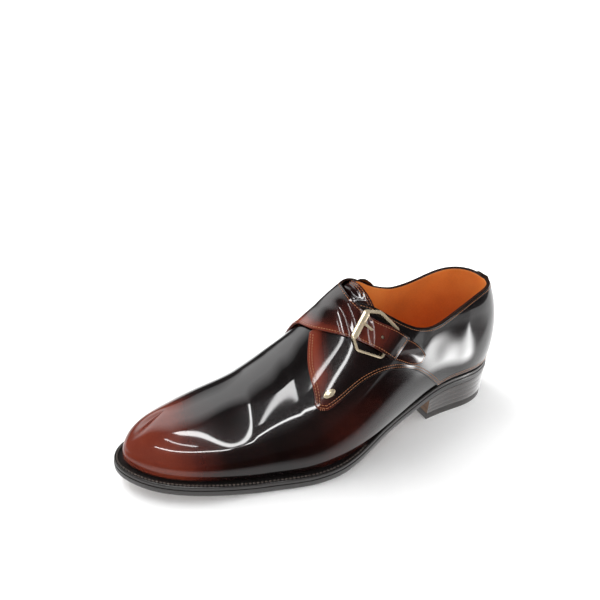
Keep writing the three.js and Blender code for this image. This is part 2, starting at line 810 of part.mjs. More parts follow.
// Eight corners of a bar's section
function barSection(center, sideways, outward, width, thickness) {
  const cut = 0.3;
  const half = [width / 2, thickness / 2];
  const shape = [
    [1, -cut], [1, cut], [cut, 1], [-cut, 1], [-1, cut], [-1, -cut], [-cut, -1], [cut, -1],
  ];
  return shape.map(([a, b]) => center.clone()
    .addScaledVector(sideways, a * half[0])
    .addScaledVector(outward, b * half[1]));
}

function buckleFrame() {
  const order = ["frontLow", "frontHigh", "shoulderHigh", "rearHigh", "rearLow", "shoulderLow"];
  const corners = order.map((name) => {
    const corner = buckleCorners[name];
    return onLast(corner.s, corner.w, corner.over);
  });
  const hingeWidth = 2 * hingeRadius;
  const legs = [
    { from: 0, to: 1, width: buckleBarWidth, thick: buckleThickness, steps: 2 },
    { from: 1, to: 2, width: buckleArmWidth, thick: buckleThickness, steps: 1 },
    { from: 2, to: 3, width: buckleArmWidth, thick: buckleThickness, steps: 1 },
    { from: 3, to: 4, width: hingeWidth, thick: hingeWidth, steps: 2 },
    { from: 4, to: 5, width: buckleArmWidth, thick: buckleThickness, steps: 1 },
    { from: 5, to: 0, width: buckleArmWidth, thick: buckleThickness, steps: 1 },
  ];
  const middle = hingeMiddle.clone().add(barMiddle).multiplyScalar(0.5);
  const places = [];
  for (const leg of legs) {
    const direction = corners[leg.to].clone().sub(corners[leg.from]);
    const inset = Math.min(0.3, 1.2 / direction.length());
    const outward = outFromBuckle.clone();
    outward.addScaledVector(direction, -outward.dot(direction) / direction.lengthSq()).normalize();
    const sideways = direction.clone().normalize().cross(outward);
    if (sideways.dot(corners[leg.from].clone().sub(middle)) < 0) sideways.negate();
    for (let k = 0; k <= leg.steps; k += 1) {
      const u = inset + (1 - 2 * inset) * k / leg.steps;
      const center = corners[leg.from].clone().addScaledVector(direction, u);
      places.push(barSection(center, sideways, outward, leg.width, leg.thick));
    }
  }
  return sweep(places, true);
}

// The prong turns on the hinge bar, comes up through the strap and rests on the front bar
const prongRing = hingeRadius + gap;
const prongRest = buckleThickness / 2 + gap + prongThickness / 2;

function prongLine() {
  const barOut = barMiddle.clone().sub(hingeMiddle).dot(outFromBuckle);
  return [
    { forward: 0.4, out: prongRing + prongRingWall / 2 },
    { forward: buckleLength * 0.3, out: prongRing + prongRingWall / 2 + 0.6 },
    { forward: buckleLength * 0.55, out: barOut + prongRest - 0.6 },
    { forward: buckleLength * 0.8, out: barOut + prongRest },
    { forward: buckleLength + buckleBarWidth / 2, out: barOut + prongRest },
  ];
}

function rodAlong(line, width, thickness) {
  return sweep(line.map((place, i) => {
    const before = line[Math.max(0, i - 1)];
    const after = line[Math.min(line.length - 1, i + 1)];
    const run = new THREE.Vector2(after.forward - before.forward, after.out - before.out).normalize();
    const outward = outFromBuckle.clone().multiplyScalar(run.x).addScaledVector(towardBar, -run.y);
    return barSection(atBuckle(place.forward, 0, place.out), across, outward, width, thickness);
  }), false);
}

// A round bar along the hinge line
function hingeCylinder(radius, length) {
  const rod = closedCopy(new THREE.CylinderGeometry(radius, radius, length, 16));
  rod.applyQuaternion(new THREE.Quaternion().setFromUnitVectors(new THREE.Vector3(0, 1, 0), across));
  rod.translate(hingeMiddle.x, hingeMiddle.y, hingeMiddle.z);
  return toManifold(rod);
}

function buckleProng() {
  const ring = hingeCylinder(prongRing + prongRingWall, prongWidth);
  const rod = toManifold(rodAlong(prongLine(), prongWidth, prongThickness));
  return fromManifold(ring.add(rod).subtract(hingeCylinder(prongRing, prongWidth + 1)));
}

function prongHole() {
  return toManifold(rodAlong(prongLine(), prongWidth + 2 * gap, prongThickness + 2 * gap));
}

// The tab's loop holds the hinge bar, with a slot for the prong, and its end is sewn to the quarter
function buckleTab() {
  const rows = 10;
  const columns = 4;
  const edges = spline(
    tabRows.map((row, i) => i),
    tabRows.map((row) => [row.highS, row.highW, row.lowS, row.lowW]),
  );
  const base = gap + overlayThickness + gap;
  const face = (over) => (i, j) => {
    const [highS, highW, lowS, lowW] = edges((tabRows.length - 1) * j / rows);
    const u = i / columns;
    return onLast(highS + (lowS - highS) * u, highW + (lowW - highW) * u, over);
  };
  const plate = toManifold(sheet(columns, rows, face(base + tabThickness), face(base)));
  const loop = hingeCylinder(prongRing + loopWall, tabLoopWidth);
  const slotWidth = prongWidth + 2 * gap + 0.4;
  const slot = hingeCylinder(prongRing + prongRingWall + gap, slotWidth);
  return fromManifold(plate.add(loop).subtract(hingeCylinder(prongRing, tabLoopWidth + 2)).subtract(slot));
}

// An oval stud, domed, on a quarter
function stud(side) {
  const { s, w } = studs[side];
  const profile = [
    new THREE.Vector2(0, 0),
    new THREE.Vector2(0.86, 0),
    new THREE.Vector2(1, 0.3),
    new THREE.Vector2(0.75, 0.8),
    new THREE.Vector2(0, 1),
  ];
  const shape = closedCopy(new THREE.LatheGeometry(profile, 20));
  const normal = onLast(s, w, 1).sub(onLast(s, w, 0)).normalize();
  const along = onLast(s + 0.01, w, 0).sub(onLast(s - 0.01, w, 0));
  along.addScaledVector(normal, -along.dot(normal)).normalize();
  const sideways = normal.clone().cross(along).normalize();
  shape.scale(studLength / 2, studHeight, studWidth / 2);
  const place = new THREE.Matrix4().makeBasis(along, normal, sideways.negate());
  place.setPosition(onLast(s, w, gap + overlayThickness + gap));
  shape.applyMatrix4(place);
  return shape;
}

function material(color, roughness, metalness = 0) {
  return new THREE.MeshStandardMaterial({ color, roughness, metalness });
}

const leather = material(colors.leather, 0.25);
const strapLeather = material(colors.strap, 0.25);
const soleLeather = material(colors.sole, 0.55);
const heelLeather = material(colors.heel, 0.4);
const rubber = material(colors.rubber, 0.8);
const insoleLeather = material(colors.insole, 0.6);
const metal = material(colors.metal, 0.25, 1);

const shoe = new THREE.Group();
const pieces = [
  ["outsole", outsole(), soleLeather],
  ["welt", welt(), soleLeather],
  ["heel_stack", heelStack(), heelLeather],
  ["heel_top_lift", heelTopLift(), rubber],
  ["insole", insole(), insoleLeather],
  ["upper", upper(), leather],
  ["tongue", tongue(), leather],
  ["quarter_outer", quarterOuter(), leather],
  ["quarter_inner", quarterInner(), strapLeather],
  ["back_strap", backStrap(), leather],
  ["buckle_tab", buckleTab(), leather],
  ["buckle_frame", buckleFrame(), metal],
  ["buckle_prong", buckleProng(), metal],
  ["stud_outer", stud("out"), metal],
  ["stud_inner", stud("in"), metal],
];
for (const [name, geometry, look] of pieces) {
  const mesh = new THREE.Mesh(geometry, look);
  mesh.name = name;
  shoe.add(mesh);
}

// The origin is on the floor, under the middle of the shoe
const box = new THREE.Box3().setFromObject(shoe);
shoe.position.set(-(box.min.x + box.max.x) / 2, -(box.min.y + box.max.y) / 2, -box.min.z);

export default shoe;
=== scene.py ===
# Dresses the left monk strap shoe over its CAD frame. Sizes are in millimetres on the last and turn into
# metres where a mesh is made. The last is the same function of the same tables as the solids.
import math

import bpy
import numpy as np
from mathutils import Matrix, Vector
from mathutils.bvhtree import BVHTree

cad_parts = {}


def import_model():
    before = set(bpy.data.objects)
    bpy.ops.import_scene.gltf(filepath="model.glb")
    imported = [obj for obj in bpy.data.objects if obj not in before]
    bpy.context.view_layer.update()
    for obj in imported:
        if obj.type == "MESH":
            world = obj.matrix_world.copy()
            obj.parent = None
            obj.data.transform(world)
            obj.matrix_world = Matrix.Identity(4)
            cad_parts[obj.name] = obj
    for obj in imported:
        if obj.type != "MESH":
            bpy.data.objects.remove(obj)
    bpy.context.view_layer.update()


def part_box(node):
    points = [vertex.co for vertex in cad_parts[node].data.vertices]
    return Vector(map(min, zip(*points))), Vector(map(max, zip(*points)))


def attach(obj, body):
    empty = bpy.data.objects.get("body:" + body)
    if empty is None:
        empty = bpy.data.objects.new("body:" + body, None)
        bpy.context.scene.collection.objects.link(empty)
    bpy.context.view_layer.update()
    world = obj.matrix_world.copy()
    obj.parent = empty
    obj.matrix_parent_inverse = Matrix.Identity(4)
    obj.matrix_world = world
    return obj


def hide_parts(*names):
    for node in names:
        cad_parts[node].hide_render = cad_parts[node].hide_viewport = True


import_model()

MM = 0.001

# Driving sizes, as in the solids
LAST_LENGTH = 292
BALL_WIDTH = 90
INSTEP_HEIGHT = 95
HEEL_HEIGHT = 26
OUTSOLE_THICKNESS = 4.7
WELT_THICKNESS = 2.7
INSOLE_THICKNESS = 2.5
SOLE_EDGE = 6
SOLE_BEVEL = 1.2
WELT_LIP = 9
WELT_SETBACK = 0.4
HEEL_LENGTH = 69
HEEL_TAPER = 1.6
HEEL_SETBACK = 0.3
TOP_LIFT = 6
UPPER_WALL = 1.7
OVERLAY = 1.1
STRAP = 1.8
TONGUE_THICKNESS = 2
TONGUE_LIFT = 1.7
BACK_STRAP_WIDTH = 12
BACK_STRAP = 0.9
TAB = 1.4
TAB_LOOP_WIDTH = 15
BAR_WIDTH = 3.2
ARM_WIDTH = 1.8
BUCKLE = 1.9
HINGE_RADIUS = 0.85
LOOP_WALL = 0.75
PRONG_WIDTH = 1.9
PRONG = 1.5
PRONG_RING = 0.9
STUD_LENGTH = 9
STUD_WIDTH = 4.8
STUD_HEIGHT = 1.1
GAP = 0.3

# How far a panel sinks into what carries it, so that no daylight shows under its edge
SINK = 0.06
CUT_EDGE = 0.5
# Distances of the extra grid lines from a cut edge, and from where on the even lines stay
EDGE_STEPS = (0.12, 0.3, 0.55, 0.95)
EDGE_CLEAR = 1.3

# Stitches: their pitch, how far a row may miss its inset, half the groove they lie in, and the rows' insets
STITCH_PITCH = 2.0
STITCH_MISS = 0.22
STITCH_GROOVE = 1.5
STITCH_INSETS = (1.5, 3.3)
COLLAR_INSET = 2.2
STRAP_INSET = 1.6
BACK_STRAP_INSET = 1.4
TAB_INSET = 1.3
# Length, width and height of a stitch
PANEL_STITCH = (1.7, 0.55, 0.45)
TACK_STITCH = (1.9, 0.5, 0.4)
WELT_STITCH = (2.2, 1.25, 1.1)
WELT_STITCH_PITCH = 2.7
WELT_STITCH_INSET = 2.3
WELT_BUMP = 0.34
WHEEL_PITCH = 1.15

# How much of a heel ring's inset shows at the breast
BREAST_SHARE = 0.6

# Rings of the welt, from its foot, that have the look of the sole's edge
EDGE_LEVELS = 5

# How much broader the buckle's bar and arms look in the photo than in the solids
BAR_BROADER = 1.8
ARM_BROADER = 0.6
# How far the buckle's corners are rounded, and in how many steps
CORNER_ROUNDING = 1.7
CORNER_STEPS = 10

# Middle of the dim spot in the floor's glow, in metres ahead of the frame's origin
GLOW_CENTER = 0.11

# x, out, in, ridge x, ridge y, rise, lean out, lean in, foot, crown
SECTIONS = [
    (0, 0, 0, 0.137, 0, 0.926, 10, 10, 0.42, 0.95),
    (0.026, 0.211, 0.206, 0.151, 0, 0.93, 12, 12, 0.42, 0.95),
    (0.082, 0.311, 0.306, 0.192, 0, 0.939, 14, 14, 0.42, 0.9),
    (0.164, 0.333, 0.339, 0.26, 0, 0.95, 14, 14, 0.42, 0.85),
    (0.267, 0.378, 0.311, 0.336, 0, 0.985, 16, 18, 0.42, 0.75),
    (0.384, 0.483, 0.239, 0.418, -0.011, 1.03, 16, 30, 0.42, 0.62),
    (0.5, 0.578, 0.294, 0.507, -0.033, 0.91, 12, 30, 0.42, 0.55),
    (0.61, 0.589, 0.406, 0.596, -0.056, 0.716, 8, 16, 0.45, 0.55),
    (0.712, 0.511, 0.4, 0.682, -0.067, 0.562, 6, 8, 0.48, 0.55),
    (0.808, 0.439, 0.389, 0.757, -0.072, 0.452, 6, 6, 0.5, 0.55),
    (0.89, 0.344, 0.333, 0.822, -0.078, 0.376, 6, 6, 0.52, 0.55),
    (0.952, 0.217, 0.239, 0.866, -0.078, 0.331, 6, 6, 0.54, 0.56),
    (0.988, 0.083, 0.139, 0.89, -0.075, 0.3, 6, 6, 0.55, 0.58),
    (1, -0.028, 0.028, 0.897, -0.072, 0.286, 6, 6, 0.55, 0.58),
]
# x, height
UNDERSIDE = [
    (-0.02, 1.01), (0.1, 0.945), (0.205, 0.84), (0.29, 0.6), (0.395, 0.345), (0.5, 0.095), (0.585, 0.015),
    (0.65, -0.012), (0.71, -0.012), (0.77, 0.04), (0.83, 0.12), (0.91, 0.21), (0.98, 0.3), (1.04, 0.42),
]
# x, out, in
SOLE_MARGIN = [
    (-0.02, 0.3, 0.3), (0.2, 0.3, 0.3), (0.3, 0.2, 0.15), (0.38, 0.15, 0.1), (0.46, 0.5, 0.25),
    (0.54, 0.95, 0.75), (0.62, 1, 1), (0.85, 1.04, 1.04), (1.02, 1.08, 1.08),
]
# s, out, in
COLLAR = [
    (0, 0.45, 0.45), (0.06, 0.43, 0.43), (0.11, 0.435, 0.45), (0.16, 0.48, 0.505), (0.21, 0.53, 0.535),
    (0.25, 0.545, 0.515), (0.29, 0.515, 0.445), (0.335, 0.44, 0.335), (0.375, 0.34, 0.21),
    (0.42, 0.2, 0.14), (0.46, 0.13, 0.12), (0.49, 0.085, 0.085),
]
THROAT_END = 0.5
# s, out, in
QUARTER_SEAM = [
    (0.236, 1, 1), (0.251, 0.945, 0.945), (0.284, 0.835, 0.83), (0.312, 0.76, 0.745), (0.374, 0.66, 0.645),
    (0.427, 0.61, 0.608), (0.476, 0.59, 0.61), (0.525, 0.602, 0.615), (0.56, 0.61, 0.615),
]
QUARTER_FOOT = 0.985
BACK_SEAM = 0.002
# down, s
QUARTER_FRONT = [(0, 0.54), (0.2, 0.56), (0.4, 0.572), (0.8, 0.578), (0.93, 0.574), (1, 0.556)]
INNER_FRONT = [(0, 0.562), (0.4, 0.566), (0.8, 0.566), (0.93, 0.56), (1, 0.542)]
# rear s, rear w, front s, front w, under, thickness
STRAP_ROWS = [
    (0.36, -0.262, 0.562, -0.3, 0.3, 0.61),
    (0.384, -0.18, 0.559, -0.2, 0.7, 0.75),
    (0.41, -0.08, 0.552, -0.08, 1.5, 0.95),
    (0.425, 0.03, 0.54, 0.06, 2.1, 1),
    (0.43, 0.15, 0.518, 0.175, 2.3, 1),
    (0.421, 0.27, 0.478, 0.315, 2.7, 1),
    (0.404, 0.36, 0.452, 0.4, 4, 1),
    (0.374, 0.44, 0.425, 0.49, 6.4, 1),
    (0.344, 0.515, 0.397, 0.58, 5, 1),
]
# s, w, over
BUCKLE_CORNERS = [
    (0.464, 0.355, 6.4), (0.416, 0.285, 6.4), (0.391, 0.325, 5.9),
    (0.363, 0.455, 4.1), (0.42, 0.535, 4.1), (0.466, 0.42, 5.9),
]
# high s, high w, low s, low w
TAB_ROWS = [
    (0.377, 0.458, 0.415, 0.511), (0.362, 0.492, 0.404, 0.553), (0.341, 0.525, 0.387, 0.595),
    (0.324, 0.56, 0.366, 0.635), (0.305, 0.62, 0.34, 0.678), (0.296, 0.672, 0.311, 0.7),
]
STUD_OUTER = (0.545, 0.525)
STUD_INNER = (0.535, -0.53)

# Creases of the worn-in leather, as soft troughs and ridges: s, w, direction in degrees from along the shoe,
# length and width in millimetres, and height, which is negative in a trough
STRAP_CREASES = [
    (0.462, 0.25, 78, 26, 2.2, -0.55),
    (0.447, 0.27, 80, 24, 2.0, 0.35),
    (0.432, 0.315, 74, 22, 2.0, -0.5),
    (0.43, 0.37, 66, 17, 1.5, -0.45),
    (0.418, 0.385, 62, 17, 1.4, 0.4),
    (0.4, 0.41, 60, 15, 1.5, -0.35),
    (0.48, 0.19, 82, 26, 3.2, 0.3),
    (0.5, 0.02, 84, 30, 4.0, -0.3),
]
TONGUE_CREASES = [
    (0.405, 0.02, 88, 34, 1.6, -0.5),
    (0.418, 0.06, 86, 34, 1.8, 0.4),
    (0.43, 0.02, 88, 34, 1.6, -0.4),
    (0.4, 0.16, 60, 12, 1.6, -0.4),
]
UPPER_CREASES = [
    (0.585, 0.05, 84, 44, 7, -0.35),
    (0.61, 0.02, 86, 46, 7, 0.3),
    (0.635, 0.06, 84, 44, 8, -0.3),
    (0.6, -0.4, 74, 26, 6, -0.3),
    (0.605, 0.72, 70, 18, 6, -0.2),
]
QUARTER_CREASES = [
    (0.31, 0.62, 40, 26, 5, -0.35),
    (0.2, 0.7, 20, 34, 8, 0.25),
    (0.12, 0.62, 12, 20, 6, -0.25),
]


def unit(vectors):
    """Vectors of length one."""
    return vectors / np.linalg.norm(vectors, axis=-1, keepdims=True)


def ease(low, high, x):
    """0 up to low, 1 from high, and smooth between them."""
    u = np.clip((np.asarray(x, float) - low) / (high - low), 0, 1)
    return u * u * (3 - 2 * u)


class Curve:
    """Cubic spline through rows of values, natural at its ends or closed on itself."""

    def __init__(self, places, rows, closed=False):
        self.places = np.asarray(places, float)
        self.rows = np.asarray(rows, float).reshape(len(self.places), -1)
        steps = np.diff(self.places)
        rises = np.diff(self.rows, axis=0) / steps[:, None]
        last = len(self.places) - 1
        matrix = np.zeros((last + 1, last + 1))
        right = np.zeros_like(self.rows)
        for i in range(last + 1):
            if closed and i == last:
                matrix[i, 0] = 1
                matrix[i, last] = -1
            elif not closed and i in (0, last):
                matrix[i, i] = 2
                matrix[i, 1 if i == 0 else last - 1] = 1
                right[i] = 3 * rises[min(i, last - 1)]
            else:
                before = (i - 1) % last
                matrix[i, before] += steps[i]
                matrix[i, i] += 2 * (steps[before] + steps[i])
                matrix[i, i + 1] += steps[before]
                right[i] = 3 * (steps[i] * rises[before] + steps[before] * rises[i])
        self.slopes = np.linalg.solve(matrix, right)

    def __call__(self, x):
        x = np.asarray(x, float)
        i = np.clip(np.searchsorted(self.places, x) - 1, 0, len(self.places) - 2)
        step = (self.places[i + 1] - self.places[i])[..., None]
        u = (x - self.places[i])[..., None] / step
        start = self.rows[i] * (1 + 2 * u) * (1 - u) ** 2 + self.slopes[i] * step * u * (1 - u) ** 2
        end = self.rows[i + 1] * u ** 2 * (3 - 2 * u) - self.slopes[i + 1] * step * u ** 2 * (1 - u)
        return start + end


def column(table, index):
    """One column of a table."""
    return np.array([row[index] for row in table], float)


def table_curve(table):
    """Curve through a table whose first column is the place."""
    rows = np.array(table, float)
    return Curve(rows[:, 0], rows[:, 1:])


underside_curve = Curve(column(UNDERSIDE, 0) * LAST_LENGTH, column(UNDERSIDE, 1) * HEEL_HEIGHT)


def underside(x):
    """Height of the outsole's underside at a place along the shoe."""
    return np.maximum(0, underside_curve(x)[..., 0])


WELT_TOP = OUTSOLE_THICKNESS + GAP + WELT_THICKNESS
FEATHER = WELT_TOP + GAP


def last_columns():
    """The last's columns round the shoe, closed at the heel, and half the way round."""
    x, out, inner, ridge_x, ridge_y, rise, lean_out, lean_in, foot, crown = np.array(SECTIONS, float).T
    x = x * LAST_LENGTH
    out = out * BALL_WIDTH
    inner = -inner * BALL_WIDTH
    shared = [ridge_x * LAST_LENGTH, ridge_y * BALL_WIDTH, rise * INSTEP_HEIGHT, foot, crown]
    steps = (np.hypot(np.diff(x), np.diff(out)) + np.hypot(np.diff(x), np.diff(inner))) / 2
    places = np.concatenate([[0], np.cumsum(steps)])
    girth = places[-1]
    inner_rows = np.column_stack([x, inner, lean_in, *shared])
    outer_rows = np.column_stack([x, out, lean_out, *shared])
    around = np.concatenate([places[:-1] / girth - 1, 1 - places[::-1] / girth])
    return Curve(around, np.vstack([inner_rows[:-1], outer_rows[::-1]]), closed=True), girth


last_curve, HALF_GIRTH = last_columns()


def turned(t):
    """t brought to between -1 and 1, where it means the same place."""
    return (np.asarray(t, float) + 1) % 2 - 1


def last_row(t):
    """x, y, lean, ridge x, ridge y, rise, foot and crown at t: 0 at the toe, 1 or -1 at the heel."""
    return np.moveaxis(last_curve(turned(t)), -1, 0)


def ridge(t):
    """A point of the line over the top of the foot."""
    row = last_row(np.abs(turned(t)))
    return np.stack([row[3], row[4], underside(row[0]) + FEATHER + row[5]], -1)


def measured_slope(t):
    """Slope of the ridge line, along the shoe."""
    step = 0.002
    place = np.clip(np.abs(turned(t)), 1.5 * step, 1 - 1.5 * step)
    run = ridge(place + step) - ridge(place - step)
    return run[..., 2] / run[..., 0]


slope_curve = Curve(last_curve.places, measured_slope(last_curve.places), closed=True)


def ridge_slope(t):
    """Slope of the ridge line, drawn as one smooth curve so that a highlight has no kink in it."""
    return slope_curve(turned(t))[..., 0]

def outward(t):
    """Outward direction of the feather line, seen from above."""
    step = 0.0001
    a = last_row(t - step)
    b = last_row(t + step)
    return unit(np.stack([b[1] - a[1], a[0] - b[0], np.zeros_like(a[0])], -1))


def last_point(t, v):
    """A point of the last: v is 0 at the feather line and 1 on the ridge."""
    t, v = np.broadcast_arrays(np.asarray(t, float), np.asarray(v, float))
    row = last_row(t)
    top = ridge(t)
    feather = np.stack([row[0], row[1], underside(row[0]) + FEATHER], -1)
    lean = np.radians(row[2])
    up = outward(t) * np.sin(lean)[..., None]
    up[..., 2] = np.cos(lean)
    lower = feather + up * (row[6] * (top[..., 2] - feather[..., 2]))[..., None]
    across = (feather - top) * row[7][..., None]
    across[..., 2] = ridge_slope(t) * across[..., 0]
    v = v[..., None]
    rest = 1 - v
    return feather * rest ** 3 + 3 * lower * v * rest ** 2 + 3 * (top + across) * v * v * rest + top * v ** 3


def last_normal(t, v):
    """Outward normal of the last."""
    t, v = np.broadcast_arrays(np.asarray(t, float), np.asarray(v, float))
    step = 0.001
    along = last_point(t + step, v) - last_point(t - step, v)
    up = last_point(t, np.minimum(1, v + step)) - last_point(t, np.maximum(0, v - step))
    slope = ridge_slope(t)
    top = unit(np.stack([-slope, np.zeros_like(slope), np.ones_like(slope)], -1))
    on_ridge = (v > 1 - step)[..., None]
    side = np.cross(along, up)
    return np.where(on_ridge, top, unit(np.where(on_ridge, top, side)))


def on_last(s, w, over):
    """A point at a height over the last: s runs from heel to toe, w from the ridge down to each side."""
    s, w, over = np.broadcast_arrays(*[np.asarray(value, float) for value in (s, w, over)])
    t = np.where(w < 0, s - 1, 1 - s)
    v = 1 - np.abs(w)
    return last_point(t, v) + last_normal(t, v) * over[..., None]


collar_curve = table_curve(COLLAR)
margin_curve = table_curve(SOLE_MARGIN)
seam_curve = table_curve(QUARTER_SEAM)


def collar_edge(s, side):
    """Edge of the collar and throat on one side, as a share of the way down from the ridge."""
    s = np.asarray(s, float)
    start = COLLAR[-1][0]
    edge = collar_curve(np.clip(s, 0, start))[..., 0 if side > 0 else 1]
    u = np.clip((s - start) / (THROAT_END - start), 0, 1)
    return edge * np.sqrt(1 - u * u)

def margin(t):
    """How far the sole stands out past the feather line."""
    t = np.asarray(t, float)
    share = margin_curve(np.clip(last_row(t)[0] / LAST_LENGTH, SOLE_MARGIN[0][0], SOLE_MARGIN[-1][0]))
    return SOLE_EDGE * np.where(t > 0, share[..., 0], share[..., 1])


def bottom_point(t, outside, over):
    """A point at a distance outside the feather line, at a height over the underside."""
    row = last_row(t)
    feather = np.stack([row[0], row[1], np.zeros_like(row[0])], -1)
    place = feather + outward(t) * np.asarray(outside)[..., None]
    place[..., 2] = underside(place[..., 0]) + over
    return place


def frame_shift():
    """From the last's origin to the frame's, found from the outsole's box."""
    t = np.linspace(-1, 1, 4001)
    edge = bottom_point(t, margin(t), 0)
    low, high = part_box("outsole")
    middle = (np.array(low) + np.array(high)) / 2 / MM
    shift = middle - (edge.min(axis=0) + edge.max(axis=0)) / 2
    shift[2] = 0
    return shift


SHIFT = frame_shift()


def relief(creases, s, w):
    """Height of the creases at each place."""
    across_girth = 100
    height = np.zeros(np.broadcast(s, w).shape)
    for crease_s, crease_w, direction, length, width, rise in creases:
        x = (s - crease_s) * HALF_GIRTH
        y = (w - crease_w) * across_girth
        angle = math.radians(direction)
        along = x * math.cos(angle) + y * math.sin(angle)
        across = y * math.cos(angle) - x * math.sin(angle)
        bend = across + along ** 2 / (6 * length)
        height += rise * np.exp(-(bend / width) ** 2 - (2 * along / length) ** 4)
    return height


def between(row, share):
    """s and w at a share of the way from a row's first place to its second."""
    return (row[..., k] + (row[..., k + 2] - row[..., k]) * share for k in (0, 1))


def spaced(count, length, low=True, high=True):
    """Places from 0 to 1 with extra ones close to the ends, where a cut edge is rounded."""
    close = np.array(EDGE_STEPS) / length
    clear = EDGE_CLEAR / length
    places = [np.linspace(0, 1, count)]
    inner = places[0][1:-1]
    if low:
        places.append(close)
        inner = inner[inner > clear]
    if high:
        places.append(1 - close)
        inner = inner[inner < 1 - clear]
    places[0] = np.concatenate([[0], inner, [1]])
    return np.unique(np.concatenate(places))


def joined(points):
    """Which points are the same place, as the first of each place and every point's number among them."""
    flat = points.reshape(-1, 3)
    _, first, place = np.unique(np.round(flat, 4), axis=0, return_index=True, return_inverse=True)
    return first, place.reshape(points.shape[:-1])


def clean_face(corners):
    """A face without repeated corners, or None where nothing is left of it."""
    kept = [corner for i, corner in enumerate(corners) if corner != corners[i - 1]]
    return kept if len(kept) > 2 and len(set(kept)) == len(kept) else None


def grid_faces(place, filled=None):
    """Faces of a grid of point numbers."""
    cells = np.stack([place[:-1, :-1], place[1:, :-1], place[1:, 1:], place[:-1, 1:]], -1)
    cells = cells.reshape(-1, 4) if filled is None else cells[filled]
    return [face for face in map(clean_face, cells.tolist()) if face]


def with_first(place):
    """Point numbers of rings, each ring with its first point once more at its end."""
    return np.concatenate([place, place[:, :1]], axis=1)


def border_of(faces):
    """Edges that only one face has."""
    edges = {}
    for face in faces:
        for i, corner in enumerate(face):
            edge = (face[i - 1], corner)
            if edge[::-1] in edges:
                del edges[edge[::-1]]
            else:
                edges[edge] = True
    return list(edges)


def volume(points, faces):
    """Signed volume of a closed mesh."""
    total = 0.0
    for face in faces:
        for i in range(1, len(face) - 1):
            total += np.dot(points[face[0]], np.cross(points[face[i]], points[face[i + 1]]))
    return total


def edge_distance(points, starts, ends):
    """Distance from each point to the nearest of many short lines."""
    nearest = np.full(len(points), np.inf)
    for start, end in zip(starts, ends):
        run = end - start
        way = points - start
        u = np.clip(way @ run / max(run @ run, 1e-9), 0, 1)
        away = way - u[:, None] * run
        nearest = np.minimum(nearest, (away * away).sum(axis=1))
    return np.sqrt(nearest)


def run_lengths(points):
    """How far each point of a line lies along it."""
    return np.concatenate([[0], np.cumsum(np.linalg.norm(np.diff(points, axis=0), axis=1))])


def linked(name, data):
    """An object in the scene that holds a mesh, a light or a camera."""
    piece = bpy.data.objects.new(name, data)
    bpy.context.collection.objects.link(piece)
    return piece


def new_mesh(name, points, faces, materials=()):
    """A mesh from points in metres."""
    mesh = bpy.data.meshes.new(name)
    mesh.from_pydata(np.asarray(points).tolist(), [], faces)
    for material in materials:
        mesh.materials.append(material)
    return mesh


def make_mesh(name, points, faces, materials, sharp, numbers=None, attributes=None):
    """An object from points in millimetres on the last, with its faces turned outwards."""
    if volume(points, faces) < 0:
        faces = [face[::-1] for face in faces]
    mesh = new_mesh(name, (points + SHIFT) * MM, faces, materials)
    if numbers is not None:
        mesh.polygons.foreach_set("material_index", numbers)
    for key, values in (attributes or {}).items():
        mesh.attributes.new(key, "FLOAT", "POINT").data.foreach_set("value", np.asarray(values, "f"))
    mesh.shade_smooth()
    mesh.set_sharp_from_angle(angle=math.radians(sharp))
    mesh.update()
    return linked(name, mesh)


def tube(name, rings, materials, sharp, closed=True, numbers=None, attributes=None):
    """An object from rings of equal count, which comes back to its first ring or has flat ends."""
    place = np.arange(rings.size // 3).reshape(rings.shape[:2])
    ends = [] if closed else [place[0, ::-1].tolist(), place[-1].tolist()]
    place = with_first(place)
    if closed:
        place = np.concatenate([place, place[:1]])
    faces = grid_faces(place.T) + ends
    return make_mesh(name, rings.reshape(-1, 3), faces, materials, sharp, numbers, attributes)


def finished(piece):
    """The piece with its modifiers made part of its mesh."""
    graph = bpy.context.evaluated_depsgraph_get()
    mesh = bpy.data.meshes.new_from_object(piece.evaluated_get(graph))
    piece.modifiers.clear()
    old = piece.data
    piece.data = mesh
    bpy.data.meshes.remove(old)
    mesh.name = piece.name
    return piece


def together(piece, *others):
    """Several objects joined into the first."""
    with bpy.context.temp_override(active_object=piece, selected_editable_objects=[piece, *others]):
        bpy.ops.object.join()
    return piece


def dress(piece, slot, *nodes):
    """The piece rides on the shoe and stands for CAD nodes. Its slot is not used."""
    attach(piece, "root")
    if nodes:
        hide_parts(*nodes)
    return piece


def add_node(tree, kind, settings, sockets):
    """A node with its settings made first, then the values or links of its sockets."""
    node = tree.nodes.new(kind)
    for key, value in settings.items():
        setattr(node, key, value)
    for key, value in sockets.items():
        if isinstance(value, Field):
            value = value.socket
        if isinstance(value, bpy.types.NodeSocket):
            tree.links.new(value, node.inputs[key])
        else:
            node.inputs[key].default_value = value
    return node


def operator(name, swapped=False):
    """One of Python's operators, made of a math node."""

    def result(field, other):
        return field.math(name, other, field) if swapped else field.math(name, field, other)

    return result


